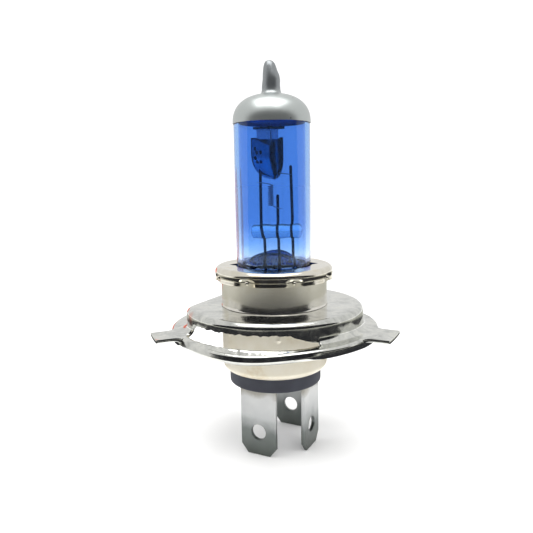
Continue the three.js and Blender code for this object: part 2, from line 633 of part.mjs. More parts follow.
const burner = new THREE.Group();
burner.rotation.z = turn;
burner.add(
  named('glass_envelope', glassEnvelope(), blueGlass),
  named('glass_bridge', glassBridge(), clearGlass),
  named('dip_shield', dipShield(), molybdenum),
  named('main_filament', mainFilament(), tungsten),
  named('dip_filament', dipFilament(), tungsten),
  named('pinch_clamp', pinchClamp(), satinNickel),
);
for (const [key, place] of Object.entries(RODS)) {
  burner.add(named(`lead_rod_${key}`, rod(place, ROD_RADIUS, foilTop + FIT, place.top), molybdenum));
  const foil = block(
    [place.foot - FOIL_WIDTH / 2, -FOIL_THICKNESS / 2, foilFoot],
    [place.foot + FOIL_WIDTH / 2, FOIL_THICKNESS / 2, foilTop],
  );
  burner.add(named(`seal_foil_${key}`, foil, molybdenum));
}

bulb.add(
  burner,
  named('silver_dome_coat', domeCoat(), silverPaint),
  named('collar_cap', collarCap(), brightNickel),
  named('upper_sleeve', upperSleeve(), satinNickel),
  named('focusing_flange', focusingFlange(), zincSheet),
  named('base_shell', baseShell(), warmNickel),
  named('insulator', insulator(), moulding),
);
for (const [name, place] of Object.entries(BLADES)) {
  bulb.add(named(name, blade(place.angle), tinnedSteel));
  bulb.add(named(name.replace('terminal', 'lead_out'), leadOut(place), satinNickel));
}

export default bulb;
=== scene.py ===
"""Twin-filament headlight bulb with a blue glass, a three-lug flange cap and three blade terminals.

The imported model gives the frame: +Z runs up the bulb's axis, +X points at the reference lug, and the
origin lies on the axis in the plane of the lugs. Sizes are in millimetres and become metres in mesh_piece.
"""

import bpy
import numpy as np
from mathutils import Matrix, Vector


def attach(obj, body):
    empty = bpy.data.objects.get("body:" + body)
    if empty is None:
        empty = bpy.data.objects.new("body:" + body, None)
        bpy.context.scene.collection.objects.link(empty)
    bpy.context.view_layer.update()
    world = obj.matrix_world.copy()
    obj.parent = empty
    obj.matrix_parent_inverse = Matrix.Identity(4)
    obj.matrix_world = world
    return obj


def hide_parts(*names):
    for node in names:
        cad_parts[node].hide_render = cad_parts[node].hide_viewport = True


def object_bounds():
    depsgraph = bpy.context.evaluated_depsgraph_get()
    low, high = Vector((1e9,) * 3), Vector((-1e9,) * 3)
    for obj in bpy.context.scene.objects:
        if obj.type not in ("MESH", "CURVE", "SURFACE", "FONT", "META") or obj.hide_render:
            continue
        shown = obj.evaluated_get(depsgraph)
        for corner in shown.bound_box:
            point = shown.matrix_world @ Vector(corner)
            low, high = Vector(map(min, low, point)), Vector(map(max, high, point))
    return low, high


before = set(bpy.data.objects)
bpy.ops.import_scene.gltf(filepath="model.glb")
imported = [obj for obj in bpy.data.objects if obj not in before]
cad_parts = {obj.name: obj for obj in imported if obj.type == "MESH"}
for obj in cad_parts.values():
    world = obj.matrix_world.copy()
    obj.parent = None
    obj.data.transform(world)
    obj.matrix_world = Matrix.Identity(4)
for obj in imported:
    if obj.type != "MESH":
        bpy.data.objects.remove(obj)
cad_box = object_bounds()

# ---- Camera ---------------------------------------------------------------------------------------
# Looks slightly down at the bulb from the front, a little to the side of the reference lug.

CAMERA_PLACE = np.array([50.6, -103.34, 30.3])
CAMERA_AIM = np.array([-0.7, -2.0, 12.16])
CAMERA_ROLL = 1.0                      # degrees, top of the view to the right
LENS = 37.8                            # mm on a 36 mm sensor
MM = 0.001

ahead = CAMERA_AIM - CAMERA_PLACE
ahead /= np.linalg.norm(ahead)
side = np.cross(ahead, [0.0, 0.0, 1.0])
side /= np.linalg.norm(side)
rise = np.cross(side, ahead)
roll = np.radians(CAMERA_ROLL)
top = np.cos(roll) * rise + np.sin(roll) * side
right = np.cross(ahead, top)
camera = bpy.data.objects.new("camera", bpy.data.cameras.new("camera"))
bpy.context.scene.collection.objects.link(camera)
axes = np.eye(4)
axes[:3, 0], axes[:3, 1], axes[:3, 2], axes[:3, 3] = right, top, -ahead, CAMERA_PLACE * MM
camera.matrix_world = Matrix(axes.tolist())
camera.data.lens = LENS
camera.data.sensor_width = 36.0
camera.data.clip_start = 0.005
camera.data.clip_end = 20.0
bpy.context.scene.camera = camera
bpy.context.scene.view_settings.view_transform = "Standard"

# ---- Glass bulb -----------------------------------------------------------------------------------
# A quartz tube, domed and sealed at the top, pressed flat round the leads at the foot. A blue lacquer
# is dipped on from the top and runs out just above the seal.

FULL_TURN = 2 * np.pi
GLASS_RADIUS = 7.66
GLASS_WALL = 0.95
GLASS_FOOT = 9.8
DOME_START = 40.9
DOME_RISE = 5.6
DOME_POWER = 2.4                       # 2 is an ellipse, more is squarer at the shoulder
TIP = 52.8
BURNER_TURN = np.radians(26)           # the pinch plane, turned about the axis
PINCH_HALF_WIDTH = 6.2
PINCH_HALF_THICKNESS = 2.1
PINCH_FOOT = -2.8


def linear(colour):
    """sRGB hex string to linear RGBA: a channel c becomes ((c + 0.055) / 1.055)^2.4, or c / 12.92 low down."""
    c = np.array([int(colour[i:i + 2], 16) for i in (1, 3, 5)]) / 255
    return (*np.where(c > 0.04045, ((c + 0.055) / 1.055) ** 2.4, c / 12.92), 1.0)


def add(tree, kind, links=None, stops=(), **settings):
    """Adds a node: sets its attributes, its unlinked sockets and its colour stops of (place, sRGB hex), and
    links the sockets that are given another node's output."""
    made = tree.nodes.new("ShaderNode" + kind)
    for k, (place, colour) in enumerate(stops):
        if k > 1:
            made.color_ramp.elements.new(place)
        made.color_ramp.elements[k].position = place
        made.color_ramp.elements[k].color = linear(colour)
    for key, value in settings.items():
        setattr(made, key, value)
    for socket, value in (links or {}).items():
        if isinstance(value, bpy.types.NodeSocket):
            tree.links.new(value, made.inputs[socket])
        else:
            made.inputs[socket].default_value = value
    return made


def material(name):
    """An empty node material and its tree."""
    made = bpy.data.materials.new(name)
    made.use_nodes = True
    made.node_tree.nodes.clear()
    return made, made.node_tree


def mesh_piece(name, points, faces, look, crease=35, replaced=()):
    """A shaded mesh object from points in millimetres, riding on the root body. Edges that bend by more than
    crease degrees stay crisp."""
    mesh = bpy.data.meshes.new(name)
    mesh.from_pydata((np.asarray(points) * MM).tolist(), [], [list(face) for face in faces])
    mesh.validate()
    mesh.shade_smooth()
    mesh.set_sharp_from_angle(angle=np.radians(crease))
    mesh.materials.append(look)
    made = bpy.data.objects.new(name, mesh)
    bpy.context.scene.collection.objects.link(made)
    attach(made, "root")
    if replaced:
        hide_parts(*replaced)
    return made


def grid_faces(rows, columns, wrap_rows=False, wrap_columns=True):
    """Quads of a grid of rows by columns points, joined end to start where a direction wraps."""
    i = np.arange(rows if wrap_rows else rows - 1)[:, None]
    j = np.arange(columns if wrap_columns else columns - 1)[None, :]
    a = i * columns + j
    b = i * columns + (j + 1) % columns
    c = (i + 1) % rows * columns + (j + 1) % columns
    d = (i + 1) % rows * columns + j
    return np.stack([a, b, c, d], -1).reshape(-1, 4)


def points_of(*parts):
    """Points from their coordinates, each stretched to the grid that they share."""
    return np.stack(np.broadcast_arrays(*parts), -1)


def turned(profile, sides=128):
    """Points (rows, sides, 3) of a profile of (radius, height) turned about the axis: r cos t, r sin t, z."""
    profile = np.asarray(profile, float)
    t = np.arange(sides) * FULL_TURN / sides
    r, z = profile[:, :1], profile[:, 1:]
    return points_of(r * np.cos(t), r * np.sin(t), z)


def arc(r, z, radius, start, end, steps=8):
    """Points of a circular arc in the profile plane, angles in degrees."""
    a = np.radians(np.linspace(start, end, steps + 1))
    return np.stack([r + radius * np.cos(a), z + radius * np.sin(a)], -1)


def capped(points):
    """A turned surface whose first and last rows shrink to a point: those rows become one vertex each."""
    rows, sides = points.shape[:2]
    body = points[1:-1].reshape(-1, 3)
    poles = np.stack([points[0].mean(0), points[-1].mean(0)])
    faces = grid_faces(rows - 2, sides)
    first, last = len(body), len(body) + 1
    j = np.arange(sides)
    k = (j + 1) % sides
    low = np.stack([np.full(sides, first), k, j], -1)
    base = (rows - 3) * sides
    high = np.stack([np.full(sides, last), base + j, base + k], -1)
    return np.concatenate([body, poles]), faces.tolist() + low.tolist() + high.tolist()


NIPPLE_FOOT = 2.6                      # radius where the dome gives way to the nipple
NIPPLE = np.array([                    # (radius, height) from the hollow fillet at its foot up to the tip
    [2.15, 46.52], [1.86, 46.75], [1.72, 47.2], [1.66, 48.2], [1.6, 49.2], [1.5, 50.1],
    [1.28, 50.9], [1.12, 51.6], [0.92, 52.2], [0.62, 52.6], [0.3, 52.76], [0.0, TIP],
])
NIPPLE_LEAN = (0.27, 0.13)             # how far its tip leans to -X and to -Y
NIPPLE_SWELL = 0.1                     # how much fatter it is on its swollen side
SWELL_HEIGHT, SWELL_REACH = 49.7, 0.8
SWELL_SIDE = np.radians(27)


def crown(offset, steps=26):
    """Profile from the dome's foot to the tip of the drawn-out nipple, pushed out by an offset.

    The dome is a superellipse, r = R cos(a)^(2/p) and z = h sin(a)^(2/p). The nipple tapers through its
    (radius, height) stations, which move out by the offset, and up by it towards the tip."""
    a = np.linspace(0, np.pi / 2, steps)
    r = (GLASS_RADIUS + offset) * np.cos(a) ** (2 / DOME_POWER)
    z = DOME_START + (DOME_RISE + offset) * np.sin(a) ** (2 / DOME_POWER)
    keep = r > NIPPLE_FOOT
    dome = np.stack([r[keep], z[keep]], -1)
    stations = NIPPLE.copy()
    stations[:-1, 0] += offset
    stations[:, 1] += offset * (stations[:, 1] - 46.0) / (TIP - 46.0)
    return np.concatenate([dome, stations])


def drawn(points):
    """The nipple as it was pulled off by hand: it leans by d s^2, where s is its height share, and swells on
    one side about half-way up, by b exp(-((z - h) / w)^2) cos(t) of its radius."""
    s = np.clip((points[..., 2] - 46.5) / (TIP - 46.5), 0, 1)
    swell = NIPPLE_SWELL * np.exp(-((points[..., 2] - SWELL_HEIGHT) / SWELL_REACH) ** 2) * (s > 0)
    t = np.arctan2(points[..., 1], points[..., 0]) - SWELL_SIDE
    grown = points.copy()
    grown[..., :2] *= (1 + swell * np.cos(t))[..., None]
    grown[..., :2] -= np.multiply.outer(s ** 2, NIPPLE_LEAN)
    return grown


FLOOR = GLASS_FOOT + 1.5               # foot of the hollow, over a thick glass floor
FOOT_ROUND = 2.9
BORE = GLASS_RADIUS - GLASS_WALL
BORE_ROUND = 1.8
RIDGE = 3.8                            # how far the seal bulges up into the hollow
RIDGE_CENTRE = -0.5
RIDGE_HALF_LENGTH, RIDGE_HALF_WIDTH = 6.2, 3.0
CREASE = 0.2                           # extra height of the crease along the ridge, as a share
CREASE_OFF, CREASE_SLANT, CREASE_WIDTH = -0.9, 0.3, 0.4
RIDGE_FADE = 4.0                       # the wall above this height over the floor isn't lifted
outer = np.concatenate([
    [[0.0, GLASS_FOOT], [3.2, GLASS_FOOT]],
    arc(GLASS_RADIUS - FOOT_ROUND, GLASS_FOOT + FOOT_ROUND, FOOT_ROUND, -80, 0, 14),
    points_of(GLASS_RADIUS, np.linspace(13.6, DOME_START - 0.5, 24)),
    crown(0),
])
inner_dome = crown(-GLASS_WALL)
inner_dome = inner_dome[inner_dome[:, 1] < DOME_START + DOME_RISE - GLASS_WALL - 0.3]
hollow = np.concatenate([
    points_of(np.linspace(0, BORE - BORE_ROUND, 22), FLOOR),
    arc(BORE - BORE_ROUND, FLOOR + BORE_ROUND, BORE_ROUND, -90, 0)[1:],
    points_of(BORE, np.linspace(16, DOME_START - 0.5, 24)),
    inner_dome,
    [[0.0, DOME_START + DOME_RISE - GLASS_WALL]],
])


def ridged(points):
    """The hollow's floor lifted over the seal by h (1 - (u/a)^2 - (v/b)^2)^0.6 along the pinch, with a
    slanting crease that adds a share c exp(-((v - v0 - k u) / w)^2) of that."""
    c, s = np.cos(BURNER_TURN), np.sin(BURNER_TURN)
    u = points[..., 0] * c + points[..., 1] * s
    v = points[..., 1] * c - points[..., 0] * s
    round_top = 1 - ((u - RIDGE_CENTRE) / RIDGE_HALF_LENGTH) ** 2 - (v / RIDGE_HALF_WIDTH) ** 2
    share = np.clip(round_top, 0, None) ** 0.6
    share = share + CREASE * share * np.exp(-((v - CREASE_OFF - CREASE_SLANT * u) / CREASE_WIDTH) ** 2)
    lifted = points.copy()
    low = np.clip((FLOOR + RIDGE_FADE - points[..., 2]) / RIDGE_FADE, 0, 1)
    lifted[..., 2] += RIDGE * share * low
    return lifted


outer_points, outer_faces = capped(drawn(turned(outer)))
hollow_points, hollow_faces = capped(ridged(turned(hollow)))
hollow_faces = [[i + len(outer_points) for i in face[::-1]] for face in hollow_faces]

blue_quartz, tree = material("blue_lacquered_quartz")
# Lacquered quartz: a clear, hard-edged gloss; the dipped colour thins out above the seal and pools deep blue
# at the seal's two ends.
place = add(tree, "TexCoord").outputs["Object"]
height = add(tree, "SeparateXYZ", {0: place}).outputs["Z"]
share = add(tree, "MapRange", {0: height, 1: 0.0098, 2: 0.0208}).outputs[0]
tint = add(tree, "ValToRGB", {0: share}, stops=[
    (0.0, "#5c92ea"), (0.12, "#8db6f4"), (0.22, "#dbe9fb"),
    (0.34, "#cfe2fa"), (0.6, "#a9cdf8"), (1.0, "#86b3ee"),
])
spun = add(tree, "Mapping", {0: place, "Rotation": (0.0, 0.0, -BURNER_TURN)}).outputs[0]
off = add(tree, "Math", {0: add(tree, "SeparateXYZ", {0: spun}).outputs["X"]}, operation="ABSOLUTE").outputs[0]
out = add(tree, "MapRange", {0: off, 1: 0.0058, 2: 0.0071}).outputs[0]
low = add(tree, "MapRange", {0: height, 1: 0.0142, 2: 0.0126}).outputs[0]
pool = add(tree, "Math", {0: out, 1: low}, operation="MULTIPLY").outputs[0]
tint = add(tree, "Mix", {0: pool, 6: tint.outputs[0], 7: linear("#2346cf")}, data_type="RGBA")
shader = add(tree, "BsdfPrincipled", {
    "Base Color": tint.outputs[2], "Roughness": 0.0, "IOR": 1.46, "Transmission Weight": 1.0,
})
add(tree, "OutputMaterial", {0: shader.outputs[0]})

mesh_piece("blue_glass_bulb", np.concatenate([outer_points, hollow_points]), outer_faces + hollow_faces,
           blue_quartz, 60, ["glass_envelope"])

# ---- Silver top -----------------------------------------------------------------------------------
# Heat-proof aluminium paint over the dome and nipple, dipped to a crisp edge, so that no direct light
# leaves the end of the bulb.

COAT_GAP = 0.03
COAT = 0.12
coat_outside = crown(COAT_GAP + COAT)
coat_inside = crown(COAT_GAP)
edge_low = [[coat_inside[0, 0], DOME_START - 0.05], [coat_outside[0, 0], DOME_START - 0.05]]
coat_profile = np.concatenate([coat_inside[::-1], edge_low, coat_outside])
silver_paint, tree = material("aluminium_paint_dipped")
# Leafing aluminium paint: a soft metal gleam from fine flakes, a slight orange peel, a few dark pits, and
# painted shade on the nipple.
place = add(tree, "TexCoord").outputs["Object"]
grain = add(tree, "TexNoise", {0: place, "Scale": 5200.0, "Detail": 3.0})
pits = add(tree, "TexVoronoi", {0: place, "Scale": 520.0, "Randomness": 1.0})
dark = add(tree, "MapRange", {0: pits.outputs[0], 1: 0.05, 2: 0.09}).outputs[0]
paint = add(tree, "Mix", {0: dark, 6: linear("#6d7270"), 7: linear("#b8bdbb")}, data_type="RGBA")
height = add(tree, "SeparateXYZ", {0: place}).outputs["Z"]
# Painted shade: the nipple's coat is coloured a darker grey, standing in for the dark reflection down the
# nipple.
thick = add(tree, "MapRange", {0: height, 1: 0.0462, 2: 0.0476}).outputs[0]
colour = add(tree, "Mix", {0: thick, 6: paint.outputs[2], 7: linear("#919597")}, data_type="RGBA")
rough = add(tree, "MapRange", {0: grain.outputs[0], 3: 0.3, 4: 0.37}).outputs[0]
bump = add(tree, "Bump", {"Height": grain.outputs[0], "Strength": 0.08, "Distance": 0.00005})
shader = add(tree, "BsdfPrincipled", {
    "Base Color": colour.outputs[2], "Metallic": 0.9, "Roughness": rough, "Normal": bump.outputs[0],
})
add(tree, "OutputMaterial", {0: shader.outputs[0]})
coat_points, coat_faces = capped(drawn(turned(coat_profile)))
mesh_piece("silver_top", coat_points, coat_faces, silver_paint, 50, ["silver_dome_coat"])

# ---- Lead rods ------------------------------------------------------------------------------------
# Drawn molybdenum rods that carry the filaments. They come up from the seal, kink where the glass
# bridge grips them, and are cropped at different heights.

ROD_RADIUS = 0.3
BRIDGE_HEIGHT = 19.3
BRIDGE_RADIUS = 1.45
ROD_FOOT = 6.6


def about_axis(points, angle):
    """Points turned about the bulb's axis by an angle in radians."""
    c, s = np.cos(angle), np.sin(angle)
    x, y, z = np.moveaxis(np.asarray(points, float), -1, 0)
    return points_of(x * c - y * s, x * s + y * c, z)


def burner(points):
    """Points in the burner's own frame turned into the pinch plane."""
    return about_axis(points, BURNER_TURN)


def smooth_path(stops, count):
    """Points evenly spread by length on a Catmull-Rom curve through the stops, found by cubic blending."""
    p = np.asarray(stops, float)
    p = np.concatenate([2 * p[:1] - p[1:2], p, 2 * p[-1:] - p[-2:-1]])
    t = np.linspace(0, 1, 24, endpoint=False)[None, :, None]
    a, b, c, d = p[:-3, None], p[1:-2, None], p[2:-1, None], p[3:, None]
    curve = 2 * b + (c - a) * t + (2 * a - 5 * b + 4 * c - d) * t ** 2 + (3 * b - a - 3 * c + d) * t ** 3
    curve = 0.5 * curve
    curve = np.concatenate([curve.reshape(-1, 3), p[-2:-1]])
    run = np.concatenate([[0], np.cumsum(np.linalg.norm(np.diff(curve, axis=0), axis=1))])
    even = np.linspace(0, run[-1], count)
    return np.stack([np.interp(even, run, curve[:, k]) for k in range(3)], -1)


def rings(centre, first, second, r, sides):
    """Rings c + r (p cos t + q sin t) round the centres, the first and the last closed to a point."""
    t = np.arange(sides) * FULL_TURN / sides
    ring = first[:, None] * np.cos(t)[:, None] + second[:, None] * np.sin(t)[:, None]
    return capped(centre[:, None] + ring * r[:, None, None])


def tube(path, radius, sides=20):
    """A round wire with domed ends: rings of radius r(s) square to the path, closed to a point at each end."""
    path = np.asarray(path, float)
    run = np.concatenate([[0], np.cumsum(np.linalg.norm(np.diff(path, axis=0), axis=1))])
    ends = radius * (1 - np.cos(np.linspace(0, np.pi / 2, 5)[:-1]))
    s = np.concatenate([ends, np.linspace(radius, run[-1] - radius, len(path)), run[-1] - ends[::-1]])
    centre = np.stack([np.interp(s, run, path[:, k]) for k in range(3)], -1)
    from_end = np.minimum(np.minimum(s, run[-1] - s), radius)
    r = np.sqrt(np.clip(radius ** 2 - (radius - from_end) ** 2, 0, None))
    along = np.gradient(centre, axis=0)
    along[0], along[-1] = centre[4] - centre[0], centre[-1] - centre[-5]
    along /= np.linalg.norm(along, axis=1)[:, None]
    spread = np.ptp(path, axis=0)
    across = np.eye(3)[np.argmin(spread)]
    first = np.cross(along, across)
    first /= np.linalg.norm(first, axis=1)[:, None]
    return rings(centre, first, np.cross(along, first), r, sides)


molybdenum, tree = material("molybdenum_drawn")
# Drawn molybdenum: a dark grey metal, slightly heat-blued, with fine draw lines along the rod.
place = add(tree, "TexCoord").outputs["Object"]
stretch = add(tree, "Mapping", {0: place, "Scale": (1.0, 1.0, 0.04)}).outputs[0]
lines = add(tree, "TexNoise", {0: stretch, "Scale": 9000.0, "Detail": 2.0})
colour = add(tree, "ValToRGB", {0: lines.outputs[0]}, stops=[(0.3, "#1a1d26"), (0.7, "#353944")])
rough = add(tree, "MapRange", {0: lines.outputs[0], 3: 0.28, 4: 0.45}).outputs[0]
shader = add(tree, "BsdfPrincipled", {"Base Color": colour.outputs[0], "Metallic": 1.0, "Roughness": rough})
add(tree, "OutputMaterial", {0: shader.outputs[0]})

ROD_LINES = {
    "common": [[-1.75, 0, ROD_FOOT], [-1.75, 0, 12.0], [-1.8, 0, 17.3], [-2.1, 0, 18.7], [-2.4, 0, 19.9],
               [-2.45, 0, 21.5], [-2.45, 0, 28.0], [-2.45, 0, 37.2]],
    "main": [[1.1, 0, ROD_FOOT], [1.1, 0, 12.0], [1.08, 0, 17.4], [0.85, 0, 18.9], [0.85, 0, 19.9],
             [1.0, 0, 21.3], [1.0, 0, 24.0], [1.0, 0, 26.8]],
    "dip": [[4.05, 0, ROD_FOOT], [4.05, 0, 12.0], [4.02, 0, 17.4], [3.75, 0, 18.8], [3.72, 0, 20.0],
            [3.95, 0, 21.6], [3.85, 0, 26.5], [3.7, 0, 32.6]],
}
for key, stops in ROD_LINES.items():
    rod_points, rod_faces = tube(burner(smooth_path(stops, 60)), ROD_RADIUS)
    mesh_piece(f"rod_{key}", rod_points, rod_faces, molybdenum, 50, [f"lead_rod_{key}"])

# ---- Pinch seal -----------------------------------------------------------------------------------
# The foot of the quartz, pressed flat round three molybdenum foils that let the glass seal on metal, held
# in a nickelled spring clamp. Stiff tinned leads run down from it to the blades.

SEAL_TOP = GLASS_FOOT - 0.02
SECTION_POWER = 5.0                    # of the superellipse that the seal is in section
SEAL_ROUNDING = [                      # (height, share of the full section), closed and rounded at the ends
    (PINCH_FOOT, 0.0), (PINCH_FOOT, 0.9), (PINCH_FOOT + 0.1, 0.97), (PINCH_FOOT + 0.4, 1.0),
    *[(height, 1.0) for height in np.linspace(0, 9, 8)],
    (SEAL_TOP - 0.1, 1.0), (SEAL_TOP, 0.97), (SEAL_TOP, 0.0),
]
t = np.arange(96) * FULL_TURN / 96
section = [half * np.sign(way) * np.abs(way) ** (2 / SECTION_POWER)
           for half, way in ((PINCH_HALF_WIDTH, np.cos(t)), (PINCH_HALF_THICKNESS, np.sin(t)))]
level, girth = np.array(SEAL_ROUNDING).T[:, :, None]
seal_points, seal_faces = capped(burner(points_of(section[0] * girth, section[1] * girth, level)))
mesh_piece("pinch_seal", seal_points, seal_faces, blue_quartz, 50)

# Rolled foil: a soft bright grey, faintly streaked along the roll. Nickelled spring steel: a warm bright grey
# with a fine brushed blur. Tinned wire: a dull silver-white, slightly uneven where the tin has run.
FOILS = [f"seal_foil_{key}" for key in ROD_LINES]
LEAD_OUTS = [f"lead_out_{key}" for key in ROD_LINES]
for name, nodes, tone, stretch, scale, detail, smooth, dull in (
    ("molybdenum_foil_rolled", FOILS, "#8b8f98", 0.1, 4000.0, 2.0, 0.2, 0.4),
    ("nickel_plated_spring", ["pinch_clamp"], "#cfcabd", 1.0, 3000.0, 3.0, 0.22, 0.36),
    ("tinned_wire_drawn", LEAD_OUTS, "#b9bbbc", 1.0, 1500.0, 2.0, 0.3, 0.5),
):
    look, tree = material(name)
    place = add(tree, "TexCoord").outputs["Object"]
    drawn_out = add(tree, "Mapping", {0: place, "Scale": (1.0, 1.0, stretch)}).outputs[0]
    streak = add(tree, "TexNoise", {0: drawn_out, "Scale": scale, "Detail": detail})
    rough = add(tree, "MapRange", {0: streak.outputs[0], 3: smooth, 4: dull}).outputs[0]
    shader = add(tree, "BsdfPrincipled", {"Base Color": linear(tone), "Metallic": 1.0, "Roughness": rough})
    add(tree, "OutputMaterial", {0: shader.outputs[0]})
    for node in nodes:
        bpy.data.objects[node].data.materials.clear()
        bpy.data.objects[node].data.materials.append(look)

# ---- Glass bridge ---------------------------------------------------------------------------------
# A clear quartz rod melted on across the three leads to hold them apart. Its girth waves a little along
# its length, and its ends are fire-polished.

BRIDGE_CLEARANCE_COMMON = 2.15         # how far each end stops short of the bulb's inside wall
BRIDGE_CLEARANCE_DIP = 0.66
BRIDGE_LEFT = -(BORE - BRIDGE_CLEARANCE_COMMON)
BRIDGE_RIGHT = BORE - BRIDGE_CLEARANCE_DIP
BRIDGE_END = 0.75                      # length of each rounded end
clear_quartz, tree = material("clear_quartz_fire_polished")
# Fire-polished quartz: water-clear, with a faint waviness that breaks up what is seen through it, and a
# painted shade outline: deep blue where it turns edge-on, near white where it faces the view.
place = add(tree, "TexCoord").outputs["Object"]
waves = add(tree, "TexNoise", {0: place, "Scale": 700.0, "Detail": 1.0})
bump = add(tree, "Bump", {"Height": waves.outputs[0], "Strength": 0.15, "Distance": 0.0003})
# Painted shade: the tint darkens to deep blue as the surface turns edge-on to the view, for the rod's dark
# outline.
facing = add(tree, "LayerWeight", {"Blend": 0.5}).outputs["Facing"]
rim = add(tree, "MapRange", {0: facing, 1: 0.4, 2: 0.9}).outputs[0]
colour = add(tree, "Mix", {0: rim, 6: linear("#e2f6fb"), 7: linear("#2f5f86")}, data_type="RGBA")
shader = add(tree, "BsdfPrincipled", {
    "Base Color": colour.outputs[2], "Roughness": 0.0, "IOR": 1.46, "Transmission Weight": 1.0,
    "Normal": bump.outputs[0],
})
add(tree, "OutputMaterial", {0: shader.outputs[0]})
middle, half = (BRIDGE_LEFT + BRIDGE_RIGHT) / 2, (BRIDGE_RIGHT - BRIDGE_LEFT) / 2
along = middle - half * np.cos(np.linspace(0, np.pi, 61))
from_end = np.clip((half - np.abs(along - middle)) / BRIDGE_END, 0, 1)
girth = BRIDGE_RADIUS * np.sqrt(1 - (1 - from_end) ** 2) * (1 - 0.05 * np.cos(1.9 * along))
bead_points, bead_faces = capped(turned(np.stack([girth, along], -1), 48))
bead_points = np.stack([bead_points[:, 2], bead_points[:, 0], bead_points[:, 1] + BRIDGE_HEIGHT], -1)
mesh_piece("quartz_bridge", burner(bead_points), bead_faces, clear_quartz, 60, ["glass_bridge"])

# ---- Filaments ------------------------------------------------------------------------------------
# Coiled tungsten wire, one coil for each beam, with straight legs welded across the lead rods. The dip
# coil stands above the main one, in the shield's cup.

FILAMENT_WIRE = 0.1
FILAMENT_FORWARD = -0.62
COIL_RADIUS = 0.5
LEG_LINE = -(ROD_RADIUS + FILAMENT_WIRE)
COIL_SLANT = [0.13, 0.31, 0.94]        # a direction that no part of a coil or its legs runs along
COIL_TURNS = 11


def coil(x, low, high, before, after):
    """Path of a helix x + r cos t, y + r sin t, z rising evenly, joined to its leading and trailing legs."""
    t = np.linspace(0, FULL_TURN * COIL_TURNS, COIL_TURNS * 16)
    helix = points_of(x + COIL_RADIUS * np.cos(t), FILAMENT_FORWARD + COIL_RADIUS * np.sin(t),
                      low + (high - low) * t / t[-1])
    return np.concatenate([before, helix, after])


def wound(path, radius, sides=8):
    """A fine wire along a coiled path: rings square to the path, turned by the same slanting direction."""
    along = np.gradient(path, axis=0)
    along /= np.linalg.norm(along, axis=1)[:, None]
    first = np.cross(along, COIL_SLANT)
    first /= np.linalg.norm(first, axis=1)[:, None]
    r = np.full(len(path), radius)
    r[[0, -1]] = 0.0
    return rings(path, first, np.cross(along, first), r, sides)


tungsten, tree = material("tungsten_coiled")
# Coiled tungsten: dull steel-grey wire, etched slightly rough.
place = add(tree, "TexCoord").outputs["Object"]
etch = add(tree, "TexNoise", {0: place, "Scale": 12000.0, "Detail": 2.0})
colour = add(tree, "ValToRGB", {0: etch.outputs[0]}, stops=[(0.3, "#8d8a96"), (0.7, "#b3b0ba")])
shader = add(tree, "BsdfPrincipled", {"Base Color": colour.outputs[0], "Metallic": 1.0, "Roughness": 0.45})
add(tree, "OutputMaterial", {0: shader.outputs[0]})
main_path = coil(-0.4, 24.5, 28.6,
                 [[2.2, LEG_LINE, 23.85], [1.0, LEG_LINE, 24.05], [0.4, -0.6, 24.3]],
                 [[-0.6, -0.5, 28.9], [-1.6, LEG_LINE, 29.1], [-3.6, LEG_LINE, 29.3]])
dip_path = coil(-0.35, 31.4, 35.4,
                [[4.2, LEG_LINE, 30.7], [3.0, LEG_LINE, 30.85], [0.6, -0.6, 31.2]],
                [[-0.2, -0.62, 36.2], [-0.2, -0.62, 38.0], [-0.2, -0.55, 40.0]])
for key, path in (("main", main_path), ("dip", dip_path)):
    wire_points, wire_faces = wound(burner(path), FILAMENT_WIRE)
    mesh_piece(f"coil_{key}", wire_points, wire_faces, tungsten, 80, [f"{key}_filament"])

# ---- Dip shield -----------------------------------------------------------------------------------
# A small cup stamped from molybdenum sheet and spot-welded to the tall rod. It stands in front of the
# dip filament: two walls that meet in a ridge, a rounded foot, and a taller tab behind.

SHEET = 0.3
SHIELD_LEFT = -4.3
SHIELD_RIGHT = 2.25
SHIELD_RIDGE = -0.45
SHIELD_OUT = 2.7
SHIELD_BACK = 0.95
SHIELD_LOW = 29.8
SHIELD_KNEE_LEFT = 35.4                # where each side turns into the rounded foot
SHIELD_KNEE_RIGHT = 33.9
SHIELD_TOP = 38.1
SHIELD_MOUTH = 0.55                    # how far the right side stands out, where the cup is open
FOOT_SHIFT = 0.9                       # how far the foot lies to the right of the ridge
RIDGE_SOFT = 0.012                     # square of the share of the width over which the ridge is rounded
BOWL = 0.45                            # share of the depth that is lost towards the foot
NOTCH_START = 36.0
NOTCH_DEPTH = 1.7                      # of the V cut down into the ridge


def plate(front, back):
    """A closed plate from two grids of the same size: front face, back face, and a strip round their edges."""
    rows, columns = front.shape[:2]
    count = rows * columns
    index = np.arange(count).reshape(rows, columns)
    loop = np.concatenate([index[0, :-1], index[:-1, -1], index[-1, :0:-1], index[:0:-1, 0]])
    after = np.roll(loop, -1)
    faces = grid_faces(rows, columns, wrap_columns=False)
    edge = np.stack([after, loop, loop + count, after + count], -1)
    return np.concatenate([front.reshape(-1, 3), back.reshape(-1, 3)]), \
        np.concatenate([faces, faces[:, ::-1] + count, edge])


